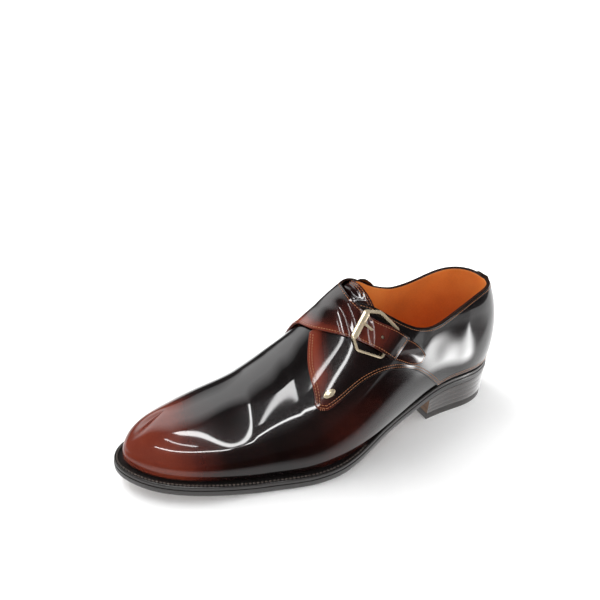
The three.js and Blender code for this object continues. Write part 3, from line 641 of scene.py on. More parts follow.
class Field:
    """A shader socket that holds a number, with Python's operators."""

    def __init__(self, paint, socket):
        self.paint = paint
        self.socket = socket

    def math(self, operation, *values):
        node = self.paint.node("ShaderNodeMath", {"operation": operation}, dict(enumerate(values)))
        return Field(self.paint, node.outputs[0])

    __add__ = operator("ADD")
    __radd__ = operator("ADD", swapped=True)
    __sub__ = operator("SUBTRACT")
    __rsub__ = operator("SUBTRACT", swapped=True)
    __mul__ = operator("MULTIPLY")
    __truediv__ = operator("DIVIDE")
    __pow__ = operator("POWER")

    def clamped(self):
        return self.math("MINIMUM", self.math("MAXIMUM", self, 0.0), 1.0)

    def wave(self):
        return self.math("SINE", self)

    def rise(self, start, length):
        """0 at the start and 1 from a length further on, where a negative length goes the other way."""
        return ((self - start) / length).clamped()

    def hill(self, middle, width):
        """1 at the middle and close to 0 a width or two away."""
        away = (self - middle) / width
        return self.math("EXPONENT", away * away * -1.0)


class Paint:
    """A material with one shader, whose steady values are set on the shader itself."""

    def __init__(self, name, **steady):
        self.material = bpy.data.materials.new(name)
        self.material.use_nodes = True
        self.tree = self.material.node_tree
        self.shader = self.tree.nodes["Principled BSDF"]
        for key, value in steady.items():
            socket = self.shader.inputs[key.replace("_", " ").title().replace("Ior", "IOR")]
            socket.default_value = value
        self.place = self.node("ShaderNodeTexCoord", {}, {}).outputs["Object"]

    def node(self, kind, settings, sockets):
        return add_node(self.tree, kind, settings, sockets)

    def attribute(self, name):
        return Field(self, self.node("ShaderNodeAttribute", {"attribute_name": name}, {}).outputs["Fac"])

    def noise(self, scale, detail=2.0, roughness=0.5, stretch=None):
        """Noise with so many waves to a metre, stretched along the axes if wanted."""
        place = self.place
        if stretch:
            place = self.node("ShaderNodeMapping", {}, {"Vector": place, "Scale": stretch}).outputs[0]
        sockets = {"Vector": place, "Scale": scale, "Detail": detail, "Roughness": roughness}
        return Field(self, self.node("ShaderNodeTexNoise", {}, sockets).outputs[0])

    def cells(self, scale):
        """Distance to the nearest of many scattered points."""
        sockets = {"Vector": self.place, "Scale": scale, "Randomness": 1.0}
        return Field(self, self.node("ShaderNodeTexVoronoi", {}, sockets).outputs["Distance"])

    def axis(self, name):
        return Field(self, self.node("ShaderNodeSeparateXYZ", {}, {0: self.place}).outputs[name])

    def ramp(self, field, stops):
        """Colours at their places from 0 to 1."""
        node = self.node("ShaderNodeValToRGB", {}, {0: field.clamped()})
        elements = node.color_ramp.elements
        while len(elements) < len(stops):
            elements.new(0.5)
        for element, (place, color) in zip(elements, stops):
            element.position = place
            element.color = (*color, 1)
        return node.outputs[0]

    def mix(self, factor, a, b):
        """Two colours mixed, each a socket or three numbers."""
        a, b = (color if isinstance(color, bpy.types.NodeSocket) else (*color, 1) for color in (a, b))
        return self.node("ShaderNodeMix", {"data_type": "RGBA"}, {0: factor, 6: a, 7: b}).outputs[2]

    def set(self, name, value):
        self.tree.links.new(value.socket if isinstance(value, Field) else value, self.shader.inputs[name])

    def glow(self, strength):
        """Light given off by the surface itself."""
        grey = self.node("ShaderNodeCombineXYZ", {}, {0: strength, 1: strength, 2: strength})
        self.set("Emission Color", grey.outputs[0])
        self.shader.inputs["Emission Strength"].default_value = 1.0

    def finish(self, color, roughness, *heights):
        """The material with its colour, its roughness, and its bumps with their depths in millimetres."""
        self.set("Base Color", color)
        if roughness:
            self.set("Roughness", roughness)
        normal = None
        for height, depth in heights:
            sockets = {"Height": height, "Distance": depth * MM, "Strength": 1.0}
            if normal:
                sockets["Normal"] = normal
            normal = self.node("ShaderNodeBump", {}, sockets).outputs[0]
        self.set("Normal", normal)
        return self.material


def polished_leather():
    """Black leather with a high shine over red-brown, which shows where the burnish was rubbed away."""
    paint = Paint(
        "polished_leather", roughness=0.3, coat_weight=1.0, coat_roughness=0.05, coat_ior=1.5,
        specular_ior_level=0.12,
    )
    cloud = paint.noise(55, 3)
    speckle = paint.noise(900, 3, 0.7)
    burnish = paint.attribute("burnish") + (cloud - 0.5) * 0.34 + (speckle - 0.5) * 0.22
    color = paint.ramp(burnish, [
        (0.0, (0.0022, 0.0012, 0.0013)),
        (0.25, (0.0085, 0.0022, 0.0018)),
        (0.55, (0.042, 0.0062, 0.0036)),
        (0.8, (0.1, 0.0155, 0.0075)),
        (1.0, (0.145, 0.025, 0.012)),
    ])
    edge = paint.attribute("edge")
    rim = edge.hill(0.0, 0.28)
    paint.set("Coat Weight", (1.0 - rim * 0.7).clamped())
    rows = edge.hill(STITCH_INSETS[0], 0.42) + edge.hill(STITCH_INSETS[1], 0.42)
    groove = paint.attribute("sewn") * rows
    pores = paint.cells(1500).hill(0.0, 0.16)
    return paint.finish(
        paint.mix(rim * 0.5, color, (0.03, 0.012, 0.007)), 0.2 + speckle * 0.08 + rim * 0.2,
        (paint.noise(38, 1), 0.13), (groove * -1.0, 0.16), (pores * -1.0 + paint.noise(420, 2) * 0.7, 0.004),
    )


def lining_leather():
    """Tan calf lining with a soft grain, darker in the hollows."""
    paint = Paint("lining_leather", roughness=0.5, coat_weight=0.12, coat_roughness=0.3)
    grain = paint.noise(700, 4, 0.6)
    color = paint.ramp(paint.noise(28, 2) * 0.7 + grain * 0.3, [
        (0.25, (0.52, 0.15, 0.028)),
        (0.5, (0.7, 0.22, 0.042)),
        (0.8, (0.8, 0.3, 0.068)),
    ])
    pores = paint.cells(900).hill(0.0, 0.3)
    return paint.finish(color, 0.42 + grain * 0.2, (pores * -1.0, 0.05), (grain, 0.04))


def thread(name, dark, light, roughness):
    """Waxed thread, twisted."""
    paint = Paint(name, roughness=roughness, coat_weight=0.3, coat_roughness=0.25)
    twist = ((paint.axis("X") + paint.axis("Y") * 0.7 + paint.axis("Z") * 1.2) * 9000.0).wave()
    return paint.finish(paint.mix(paint.noise(300, 2), dark, light), None, (twist, 0.05))


def sole_edge_leather():
    """Trimmed leather edge, inked black and waxed, with fine lines along it."""
    paint = Paint("sole_edge_leather", coat_weight=0.7, coat_roughness=0.22)
    lines = paint.noise(420, 3, 0.6, stretch=(0.12, 0.12, 2.4))
    rough = paint.noise(160, 3)
    color = paint.ramp(lines * 0.6 + rough * 0.4, [
        (0.2, (0.008, 0.006, 0.0055)),
        (0.6, (0.013, 0.01, 0.009)),
        (0.9, (0.024, 0.017, 0.014)),
    ])
    wheel = (paint.attribute("run") * (2 * math.pi / WHEEL_PITCH)).wave() * paint.attribute("wheel")
    return paint.finish(color, 0.32 + rough * 0.16, (lines, 0.03), (wheel, 0.1), (rough, 0.04))


def welt_ink_and_painted_shade():
    """Welt, inked black and left rougher than the sole's edge, and darker than that edge as painted shade in
    the groove under the upper.
    """
    paint = Paint("welt_ink_and_painted_shade", coat_weight=0.35, coat_roughness=0.3, specular_ior_level=0.3)
    rough = paint.noise(700, 3, 0.6)
    # Painted shade: this black is darker than the sole's edge and stands for the shadow in the groove under
    # the upper.
    color = paint.mix(rough, (0.0035, 0.003, 0.003), (0.012, 0.0095, 0.0085))
    return paint.finish(color, 0.42 + rough * 0.3, (rough, 0.08))


def sole_bottom_leather():
    """The tread, stained dark, with the marks of a first walk under the ball."""
    paint = Paint("sole_bottom_leather", coat_weight=0.15, coat_roughness=0.3)
    grain = paint.noise(500, 4, 0.65)
    cloud = (paint.noise(22, 3) * 0.8).clamped()
    scuffs = paint.noise(120, 5, 0.7, stretch=(0.3, 1.6, 1.0)).hill(0.62, 0.06)
    color = paint.mix(cloud, (0.05, 0.024, 0.013), (0.095, 0.046, 0.023))
    color = paint.mix(scuffs * 0.4, color, (0.2, 0.12, 0.07))
    return paint.finish(color, 0.5 + grain * 0.15, (grain, 0.06), (scuffs * -1.0, 0.05))


def heel_leather():
    """Stacked heel, inked black and polished, with its lifts just showing."""
    paint = Paint("heel_leather", coat_weight=1.0, coat_roughness=0.1, specular_ior_level=0.4)
    lifts = paint.noise(300, 3, 0.6, stretch=(0.06, 0.06, 3.0))
    cloud = paint.noise(60, 2)
    color = paint.ramp(lifts * 0.6 + cloud * 0.4, [
        (0.25, (0.01, 0.006, 0.005)),
        (0.6, (0.02, 0.012, 0.0095)),
        (0.9, (0.034, 0.019, 0.013)),
    ])
    return paint.finish(color, 0.22 + lifts * 0.1, (lifts, 0.012), (cloud, 0.05))


def breast_leather():
    """Bare leather of the heel's breast, in layers."""
    paint = Paint("breast_leather", coat_weight=0.05)
    layers = paint.noise(260, 4, 0.6, stretch=(0.05, 0.05, 3.2))
    fibre = paint.noise(1300, 3)
    color = paint.ramp(layers * 0.8 + fibre * 0.2, [
        (0.25, (0.085, 0.045, 0.026)),
        (0.55, (0.2, 0.115, 0.066)),
        (0.85, (0.34, 0.22, 0.13)),
    ])
    return paint.finish(color, 0.6 + fibre * 0.2, (layers, 0.12), (fibre, 0.04))


def heel_rubber():
    """Dark rubber of the top lift."""
    paint = Paint("heel_rubber", coat_weight=0.1, coat_roughness=0.3)
    grain = paint.noise(900, 3, 0.6)
    color = paint.mix(paint.noise(70, 2), (0.013, 0.011, 0.01), (0.028, 0.023, 0.02))
    return paint.finish(color, 0.42 + grain * 0.2, (grain, 0.05))


def pale_gold():
    """Polished buckle metal, a little cloudy."""
    paint = Paint("pale_gold", metallic=0.72, specular_ior_level=0.8)
    cloud = paint.noise(90, 2)
    color = paint.mix(cloud, (0.84, 0.68, 0.45), (0.92, 0.8, 0.59))
    return paint.finish(color, 0.2 + cloud * 0.06, (cloud, 0.01))


leather = polished_leather()
lining = lining_leather()
tan_thread = thread("tan_thread", (0.2, 0.062, 0.014), (0.36, 0.13, 0.034), 0.45)
black_thread = thread("black_thread", (0.03, 0.022, 0.018), (0.12, 0.095, 0.08), 0.3)
edge_leather = sole_edge_leather()
welt_painted_shade_leather = welt_ink_and_painted_shade()
bottom_leather = sole_bottom_leather()
stack_leather = heel_leather()
bare_leather = breast_leather()
rubber = heel_rubber()
metal = pale_gold()


class Panel:
    """A sheet of leather cut to a grid of places, with its two faces and a cut edge, rounded outside."""

    def __init__(self, name, outer, inner, burnish, filled=None, back=None, rounding=CUT_EDGE):
        self.name = name
        self.grid = outer
        self.lift = unit(outer - inner)
        first, place = joined(outer)
        self.top_faces = grid_faces(place, filled)
        used = np.unique(np.concatenate([np.array(face) for face in self.top_faces]))
        renumber = np.full(len(first), -1)
        renumber[used] = np.arange(len(used))
        self.top_faces = [renumber[face].tolist() for face in self.top_faces]
        picked = first[used]
        self.top = outer.reshape(-1, 3)[picked].copy()
        self.bottom = inner.reshape(-1, 3)[picked].copy()
        self.burnish = np.broadcast_to(burnish, outer.shape[:2]).reshape(-1)[picked]
        border = border_of(self.top_faces)
        self.starts = self.top[[a for a, b in border]]
        self.ends = self.top[[b for a, b in border]]
        self.edge = edge_distance(self.top, self.starts, self.ends)
        lift = self.lift.reshape(-1, 3)[picked]
        short = np.clip(rounding - self.edge, 0, None)
        drop = rounding - np.sqrt(np.maximum(0, rounding ** 2 - short ** 2))
        self.top -= lift * drop[:, None]
        self.bottom += lift * drop[:, None] * 0.5
        self.tree = BVHTree.FromPolygons(self.top.tolist(), self.top_faces)
        count = len(self.top)
        self.faces = list(self.top_faces)
        self.faces += [[corner + count for corner in face[::-1]] for face in self.top_faces]
        self.faces += [[b, a, a + count, b + count] for a, b in border]
        numbers = [0, 1 if back else 0]
        self.numbers = np.repeat(numbers, len(self.top_faces)).tolist() + [0] * len(border)
        self.back = back
        self.rows = []

    def line(self, *picks):
        """Points and lifts along edges of the grid, one after the other."""
        points = np.concatenate([self.grid[pick].reshape(-1, 3) for pick in picks])
        lifts = np.concatenate([self.lift[pick].reshape(-1, 3) for pick in picks])
        keep = np.concatenate([[True], np.linalg.norm(np.diff(points, axis=0), axis=1) > 0.05])
        return points[keep], lifts[keep]

    def snapped(self, points):
        """The nearest places of the outer face, and its normals there."""
        hits = [self.tree.find_nearest(Vector(point)) for point in points]
        return np.array([hit[0] for hit in hits]), np.array([hit[1] for hit in hits])

    def sew(self, line, inset, skip=(0.0, 0.0)):
        """A row of stitches at an inset from an edge. skip leaves millimetres free at the row's ends."""
        points, lifts = line
        inward = unit(np.cross(lifts, unit(np.gradient(points, axis=0))))
        middle = slice(len(points) // 3, 2 * len(points) // 3)
        misses = []
        for side in (1, -1):
            moved = points[middle] + side * inward[middle] * inset
            misses.append(np.linalg.norm(self.snapped(moved)[0] - moved, axis=1).mean())
        side = 1 if misses[0] < misses[1] else -1
        path, _ = self.snapped(points + side * inward * inset)
        path = path[np.abs(edge_distance(path, self.starts, self.ends) - inset) < STITCH_MISS]
        lengths = run_lengths(path)

        def at(stops):
            return np.column_stack([np.interp(stops, lengths, path[:, k]) for k in range(3)])

        stops = np.arange(skip[0] + STITCH_PITCH / 2, lengths[-1] - skip[1], STITCH_PITCH)
        places, normals = self.snapped(at(stops))
        reach = 0.4
        self.rows.append((places, unit(at(stops + reach) - at(stops - reach)), normals))

    def piece(self):
        """The panel's object, with its stitch rows marked for the grooves."""
        sewn = np.zeros(len(self.top))
        if self.rows:
            starts = np.concatenate([row[0][:-1] for row in self.rows])
            ends = np.concatenate([row[0][1:] for row in self.rows])
            near = np.linalg.norm(ends - starts, axis=1) < 2.5 * STITCH_PITCH
            sewn = np.exp(-(edge_distance(self.top, starts[near], ends[near]) / STITCH_GROOVE) ** 4)
        attributes = {
            "edge": np.tile(self.edge, 2),
            "burnish": np.tile(self.burnish, 2),
            "sewn": np.concatenate([sewn, np.zeros(len(self.top))]),
        }
        materials = [leather] + ([self.back] if self.back else [])
        points = np.concatenate([self.top, self.bottom])
        return make_mesh(
            self.name, points, self.faces, materials, sharp=50, numbers=self.numbers, attributes=attributes,
        )


def upper_panel():
    """The vamp and what lies under the quarters: one shell, tan inside."""
    throat = 1 - THROAT_END
    half = np.unique(np.concatenate([
        np.linspace(0, 0.06, 26), np.linspace(0.06, throat, 96),
        throat + (0.14 * np.linspace(0, 1, 40) ** 1.6), np.linspace(throat + 0.14, 1, 90),
    ]))
    around = np.concatenate([-half[::-1], half[1:]])
    s = 1 - np.abs(around)
    top = np.where(around > 0, 1 - collar_edge(s, 1), 1 - collar_edge(s, -1))
    top = np.where(np.abs(around) <= throat, 1, top)
    levels = spaced(74, 70, low=False)
    t = np.repeat(around[:, None], len(levels), axis=1)
    v = top[:, None] * levels[None, :]
    t = np.where(v > 0.9999, np.abs(t), t)
    w = (1 - v) * np.where(around > 0, 1, -1)[:, None]
    creases = relief(UPPER_CREASES, s[:, None], w)
    normal = last_normal(t, v)
    outer = last_point(t, v) + normal * creases[..., None]
    inner = last_point(t, v) - normal * UPPER_WALL
    tuck = 0.6
    down = unit(outer[:, 0] - outer[:, 1]) * tuck
    outer[:, 0] += down
    inner[:, 0] += down
    # Where the burnish was rubbed away: at the toe, low round the forefoot, and at the waist
    down_side = np.abs(w)
    along = s[:, None]
    toe = ease(0.79, 0.95, along + 0.06 * down_side) * 0.88
    low = ease(0.3, 0.7, down_side) * ease(0.55, 0.88, along) * ease(1.05, 0.8, down_side) * 0.3
    waist = ease(0.45, 0.75, down_side) * ease(0.32, 0.5, along) * ease(0.68, 0.54, along) * 0.34
    burnish = 1 - (1 - toe) * (1 - low) * (1 - waist)
    return Panel("upper", outer, inner, burnish, back=lining)


def seam_edge(s, side):
    """Where the quarter ends on its lower side."""
    edge = seam_curve(np.clip(s, QUARTER_SEAM[0][0], QUARTER_SEAM[-1][0]))[..., 0 if side > 0 else 1]
    return np.where(s <= QUARTER_SEAM[0][0], QUARTER_FOOT, np.minimum(QUARTER_FOOT, edge))


def quarter_outer_panel():
    """Outer quarter: its front edge and lower seam are cut over the vamp."""
    u = spaced(210, 165, low=False)[:, None]
    down = spaced(64, 52)[None, :]
    end = table_curve(QUARTER_FRONT)(down)[..., 0]
    s = BACK_SEAM + (end - BACK_SEAM) * u
    top_start, top_end_w = 0.46, 0.115
    blend = np.clip((s - top_start) / (QUARTER_FRONT[0][1] - top_start), 0, 1)
    top = collar_edge(np.minimum(s, top_start), 1) * (1 - blend) + top_end_w * blend
    w = top + (seam_edge(s, 1) - top) * down
    height = GAP + OVERLAY + relief(QUARTER_CREASES, s, w)
    outer = on_last(s, w, height)
    inner = on_last(s, w, -SINK)
    ahead = (end - s) * HALF_GIRTH
    front = ease(24, 2, ahead) * (1.1 - 0.55 * ease(0.3, 0.6, w))
    panel = Panel("quarter_outer", outer, inner, np.maximum(front, 0.02 + 0.08 * ease(0.35, 0.5, s)))
    seam = panel.line(np.s_[:, -1], np.s_[-1, ::-1])
    for inset in STITCH_INSETS:
        panel.sew(seam, inset)
    panel.sew(panel.line(np.s_[:, 0]), COLLAR_INSET, skip=(2, 40))
    return panel


strap_curve = Curve(np.arange(len(STRAP_ROWS)), STRAP_ROWS)


def quarter_inner_panel():
    """Inner quarter and strap in one piece. The strap crosses the instep and ends behind the buckle."""
    rear = spaced(120, 110, low=False, high=False)
    across = spaced(38, 58)
    columns = np.concatenate([rear - 1, across[1:]])
    body = spaced(44, 50)
    length = spaced(150, 190)
    rows = np.concatenate([body - 1, length[1:]])
    share = np.clip(columns, 0, 1)[:, None]
    along = np.clip(rows, 0, 1)[None, :] * (len(STRAP_ROWS) - 1)
    strap = strap_curve(along)
    strap_s, strap_w = between(strap, share)
    start = STRAP_ROWS[0]
    down = -np.clip(rows, -1, 0)[None, :]
    end = np.interp(down, column(INNER_FRONT, 0), column(INNER_FRONT, 1))
    back = columns[:, None] <= 0
    s = np.where(
        back,
        BACK_SEAM + (start[0] - BACK_SEAM) * (1 + np.clip(columns, -1, 0))[:, None],
        start[0] + (end - start[0]) * share,
    )
    blend = np.clip((s - 0.3) / 0.06, 0, 1)
    edge = collar_edge(np.minimum(s, start[0]), -1)
    joint = np.where(back, edge * (1 - blend) - start[1] * blend, -start[1] - (start[3] - start[1]) * share)
    w = -joint - (seam_edge(s, -1) - joint) * down
    on_strap = (rows > 0)[None, :] & np.ones_like(share, bool)
    s = np.where(on_strap, strap_s, s)
    w = np.where(on_strap, strap_w, w)
    under = np.where(on_strap, strap[..., 4], GAP)
    thick = np.where(on_strap, strap[..., 5] * STRAP, OVERLAY)
    height = under + thick + relief(STRAP_CREASES, s, w) * on_strap
    outer = on_last(s, w, height)
    lowered = np.where(on_strap, under - np.clip(2.0 - under, 0, 2) * 0.3, -SINK)
    inner = on_last(s, w, lowered)
    filled = (columns[:-1, None] >= 0) | (rows[None, :-1] < 0)
    place = np.clip(rows, 0, 1)[None, :]
    # Where the burnish was rubbed away on the strap: along its front edge, at its middle and at its end
    front_share = ease(0.62, 1.0, share) * ease(0.75, 0.35, place)
    middle_share = ease(0.4, 0.58, place) * ease(0.8, 0.66, place) * 0.32
    tip = ease(0.66, 0.78, place) * ease(0.96, 0.82, place) * 0.52
    strap_burnish = np.clip(front_share * 0.95 + middle_share + tip + 0.12, 0, 1)
    ahead = (end - s) * HALF_GIRTH
    quarter_burnish = ease(34, 3, ahead) * 0.75
    burnish = np.where(on_strap, strap_burnish, quarter_burnish)
    panel = Panel("quarter_inner", outer, inner, burnish, filled)
    joint_row = len(body) - 1
    joint_column = len(rear) - 1
    seam = panel.line(np.s_[:, 0], np.s_[-1, 1:joint_row])
    for inset in STITCH_INSETS:
        panel.sew(seam, inset)
    front = panel.line(np.s_[-1, joint_row:])
    panel.sew(front, STRAP_INSET)
    panel.sew(panel.line(np.s_[joint_column:, -1]), STRAP_INSET, skip=(0.5, 0.5))
    panel.sew(panel.line(np.s_[joint_column, joint_row + 4:]), STRAP_INSET)
    panel.sew(panel.line(np.s_[:joint_column, joint_row]), COLLAR_INSET, skip=(2, 6))
    return panel


def tongue_panel():
    """The tongue lies under the throat's edges and rises between them in soft folds."""
    rear, front, overlap, rise_inset = 0.388, 0.545, 0.07, 0.035
    fade_start, fade_length = THROAT_END - 0.02, 0.06
    u = spaced(80, 50, high=False)[:, None]
    across = spaced(80, 46)[None, :]
    s, across = np.broadcast_arrays(rear + (front - rear) * u, across)
    out = collar_edge(s, 1)
    inner_edge = collar_edge(s, -1)
    w = -(inner_edge + overlap) * (1 - across) + (out + overlap) * across
    edge = np.where(w > 0, out, inner_edge) - rise_inset
    fade = np.clip((fade_start - s) / fade_length, 0, 1)
    share = np.clip(1 - (w / np.maximum(edge, 0.001)) ** 2, 0, 1)
    lift = np.where(edge > np.abs(w), TONGUE_LIFT * fade * share, 0)
    over = lift - UPPER_WALL - GAP + relief(TONGUE_CREASES, s, w) * share
    burnish = 0.18 + 0.25 * ease(0.42, 0.39, s)
    outer = on_last(s, w, over)
    inner = on_last(s, w, over - TONGUE_THICKNESS)
    panel = Panel("tongue", outer, inner, burnish, back=lining)
    rear_edge = panel.line(np.s_[0, :])
    for inset in STITCH_INSETS:
        panel.sew(rear_edge, inset, skip=(3, 3))
    return panel


def back_strap_panel():
    """Strip over the back seam, sewn along both sides."""
    half = BACK_STRAP_WIDTH / 2 / HALF_GIRTH
    lower = 0.66
    t = 1 - half + 2 * half * spaced(26, BACK_STRAP_WIDTH)[:, None]
    down = spaced(30, 24)[None, :]
    edge = collar_edge(np.abs(1 - t), 1)
    t, v = np.broadcast_arrays(t, 1 - (edge + (lower - edge) * down))
    base = GAP + OVERLAY
    place = last_point(t, v)
    normal = last_normal(t, v)
    outer = place + normal * (base + GAP + BACK_STRAP)
    inner = place + normal * (base - SINK)
    panel = Panel("back_strap", outer, inner, 0.06, rounding=0.35)
    for side in (0, -1):
        panel.sew(panel.line(np.s_[side, :]), BACK_STRAP_INSET, skip=(1, 0))
    panel.sew(panel.line(np.s_[:, -1]), BACK_STRAP_INSET, skip=(2, 2))
    return panel


def sew_together(name, rows, material, size, slot):
    """One piece of thread from rows of places, runs and normals, made by Geometry Nodes."""
    places, runs, rises = (np.concatenate(part) for part in zip(*rows))
    mesh = new_mesh(name, (places + SHIFT) * MM, [])
    for key, values in (("run", runs), ("rise", rises)):
        mesh.attributes.new(key, "FLOAT_VECTOR", "POINT").data.foreach_set("vector", values.reshape(-1))
    piece = linked(name, mesh)
    modifier = piece.modifiers.new("stitches", "NODES")
    modifier.node_group = stitch_tree
    values = {"Thread": material}
    for key, length in zip(("Length", "Width", "Height"), size):
        values[key] = length * MM
    for item in stitch_tree.interface.items_tree:
        if item.name in values:
            modifier[item.identifier] = values[item.name]
    return dress(finished(piece), slot)


def make_stitch_tree():
    """Sets a rounded stitch on every point, along its run and standing on its rise."""
    tree = bpy.data.node_groups.new("stitches", "GeometryNodeTree")
    face = tree.interface
    face.new_socket("Geometry", in_out="INPUT", socket_type="NodeSocketGeometry")
    for name in ("Length", "Width", "Height"):
        face.new_socket(name, in_out="INPUT", socket_type="NodeSocketFloat")
    face.new_socket("Thread", in_out="INPUT", socket_type="NodeSocketMaterial")
    face.new_socket("Geometry", in_out="OUTPUT", socket_type="NodeSocketGeometry")

    def output(kind, settings=None, **sockets):
        named = {key.replace("_", " "): value for key, value in sockets.items()}
        return add_node(tree, kind, settings or {}, named).outputs

    given = output("NodeGroupInput")
    vector = {"data_type": "FLOAT_VECTOR"}
    run = output("GeometryNodeInputNamedAttribute", vector, Name="run")["Attribute"]
    rise = output("GeometryNodeInputNamedAttribute", vector, Name="rise")["Attribute"]
    turn = output(
        "FunctionNodeAxesToRotation", {"primary_axis": "X", "secondary_axis": "Z"},
        Primary_Axis=run, Secondary_Axis=rise,
    )[0]
    size = output("ShaderNodeCombineXYZ", X=given["Length"], Y=given["Width"], Z=given["Height"])[0]
    bead = output("GeometryNodeMeshUVSphere", Segments=8, Rings=5, Radius=0.5)["Mesh"]
    soft = output("GeometryNodeSetShadeSmooth", Geometry=bead)[0]
    shape = output("GeometryNodeTransform", Geometry=soft, Scale=size)[0]
    placed = output(
        "GeometryNodeInstanceOnPoints", Points=given["Geometry"], Instance=shape, Rotation=turn,
    )[0]
    real = output("GeometryNodeRealizeInstances", Geometry=placed)[0]
    painted = output("GeometryNodeSetMaterial", Geometry=real, Material=given["Thread"])[0]
    add_node(tree, "NodeGroupOutput", {}, {0: painted})
    return tree


stitch_tree = make_stitch_tree()


def side_line(side, outside, stations):
    """y of one side of an outline at places along the shoe."""
    t = side * np.linspace(0, 1, 3001)
    place = bottom_point(t, outside(t), 0)
    x = np.minimum.accumulate(place[:, 0])
    return np.interp(stations, x[::-1], place[::-1, 1])


def outline(outside, level, count, front=None):
    """Both sides of an outline, from its front round to the back of the heel, as one closed ring."""
    toe = bottom_point(np.zeros(1), outside(np.zeros(1)), 0)[0]
    heel = bottom_point(np.ones(1), outside(np.ones(1)), 0)[0]
    k = np.linspace(0, 1, count + 1)
    turn = (1 - np.cos(np.pi * k)) / 2 if front is None else k ** 2
    x = (heel[0] + ((toe[0] if front is None else front) - heel[0]) * turn)[::-1]
    out = np.column_stack([x, side_line(1, outside, x), level(x)])
    inner = np.column_stack([x, side_line(-1, outside, x), level(x)])
    out[-1, 1] = inner[-1, 1] = heel[1]
    if front is None:
        out[0, 1] = inner[0, 1] = toe[1]
    return np.concatenate([out, inner[::-1]])


def block(name, rings, materials, front=0, attributes=None):
    """A closed block from rings of equal count, lowest first. front is the material of its front face."""
    rings = np.array(rings)
    half = rings.shape[1] // 2
    first, place = joined(rings)
    bottom, top = (np.stack([ring[:half], ring[half:][::-1]], axis=1) for ring in (place[0], place[-1]))
    faces = []
    numbers = []
    for part, number in (
        (grid_faces(place.T), 0),
        (grid_faces(place[:, [-1, 0]].T), front),
        ([face[::-1] for face in grid_faces(bottom)], 1 if len(materials) > 1 else 0),
        (grid_faces(top), 0),
    ):
        faces += part
        numbers += [number] * len(part)
    values = {key: np.asarray(value).reshape(-1)[first] for key, value in (attributes or {}).items()}
    points = rings.reshape(-1, 3)[first]
    return make_mesh(name, points, faces, materials, sharp=40, numbers=numbers, attributes=values)


def over_underside(over):
    """A level that follows the underside."""
    return lambda x: underside(x) + over


def sole_ring(inside, level, count, front=None):
    """A ring that lies so far inside the sole's edge."""
    return outline(lambda t: margin(t) - inside, level, count, front)


def outsole_piece():
    """Leather outsole: squared edge with softened corners, wheeled along its top."""
    profile = [
        (SOLE_BEVEL + 0.5, 0, 0), (SOLE_BEVEL * 0.5, 0.1, 0), (0.25, SOLE_BEVEL * 0.4, 0),
        (0.03, SOLE_BEVEL * 0.8, 0), (0, SOLE_BEVEL + 0.3, 0), (0, 3.0, 0), (0, 3.9, 0.7), (0.02, 4.4, 1),
        (0.14, OUTSOLE_THICKNESS - 0.06, 0.6), (0.5, OUTSOLE_THICKNESS, 0),
    ]
    rings = [sole_ring(inside, over_underside(over), 220) for inside, over, _ in profile]
    runs = [run_lengths(ring) for ring in rings]
    wheel = [np.full(len(ring), mark) for ring, (_, _, mark) in zip(rings, profile)]
    piece = block("outsole", rings, [edge_leather, bottom_leather], attributes={"run": runs, "wheel": wheel})
    return dress(piece, "sole_leather", "outsole")


def welt_run():
    """Places round the welt, and how far each lies along its edge."""
    t = np.linspace(-1, 1, 1501)[:-1]
    return t, run_lengths(bottom_point(t, margin(t), 0))


def welt_piece():
    """Welt: a strip round the upper, its top pressed into bumps between the stitches."""
    t, run = welt_run()
    base = OUTSOLE_THICKNESS + SINK
    out = margin(t) - WELT_SETBACK
    wide = ease(1.2, 3.5, out)
    bump = WELT_BUMP * np.cos(2 * np.pi * run / WELT_STITCH_PITCH) * wide
    inner = np.full_like(out, -WELT_LIP)
    corners = [
        (out - 0.2, base), (out - 0.04, base + 0.15), (out, base + 0.4), (out, WELT_TOP - 0.8),
        (out - 0.2, WELT_TOP - 0.25), (out - 0.65, WELT_TOP + 0.05),
        (out - 1.15, WELT_TOP - 0.15 + bump * 0.5), (out - 1.7, WELT_TOP - 0.15 + bump),
        (out - 2.6, WELT_TOP - 0.25 + bump),
        (out - 3.2, WELT_TOP - 0.5 * wide), (np.minimum(out - 4.4, -0.6), WELT_TOP - 0.7 * wide),
        (inner, WELT_TOP - 0.3), (inner, base),
    ]
    rings = np.array([bottom_point(t, outside, over) for outside, over in corners])
    # All of the welt but its outer edge takes the welt leather, whose colour holds painted shade.
    numbers = [1 if level < EDGE_LEVELS else 0 for _ in t for level in range(len(corners))]
    piece = tube("welt", rings, [welt_painted_shade_leather, edge_leather], sharp=50, numbers=numbers)
    return dress(piece, "sole_leather", "welt")


def welt_stitches():
    """Places, runs and normals of the stitches on the welt, where it stands out far enough."""
    t, run = welt_run()
    stops = np.arange(WELT_STITCH_PITCH / 2, run[-1], WELT_STITCH_PITCH)
    at = np.interp(stops, run, t)
    at = at[margin(at) > WELT_STITCH_INSET + 0.6]

    def place(t, over):
        return bottom_point(t, margin(t) - WELT_STITCH_INSET, WELT_TOP + over)

    step = 0.001
    runs = unit(place(at + step, 0) - place(at - step, 0))
    rises = unit(np.cross(outward(at), runs))
    rises *= np.sign(rises[:, 2:3])
    return place(at, 0.12), runs, rises


def insole_piece():
    """Insole with its tan sock, soft at the edge."""
    inside = UPPER_WALL + 0.1
    profile = [
        (0.4, 0), (0, 0.4), (0, INSOLE_THICKNESS - 0.9), (0.3, INSOLE_THICKNESS - 0.3),
        (1.2, INSOLE_THICKNESS),
    ]
    rings = [
        outline(lambda t: -inside - inset, over_underside(FEATHER + over), 120) for inset, over in profile
    ]
    return dress(block("insole", rings, [lining]), "insole_leather", "insole")


def heel_ring(inside, inset, level):
    """A ring of the heel, with its breast set back a little where the ring is inset."""
    return sole_ring(inside + inset, level, 90, HEEL_LENGTH - inset * BREAST_SHARE)


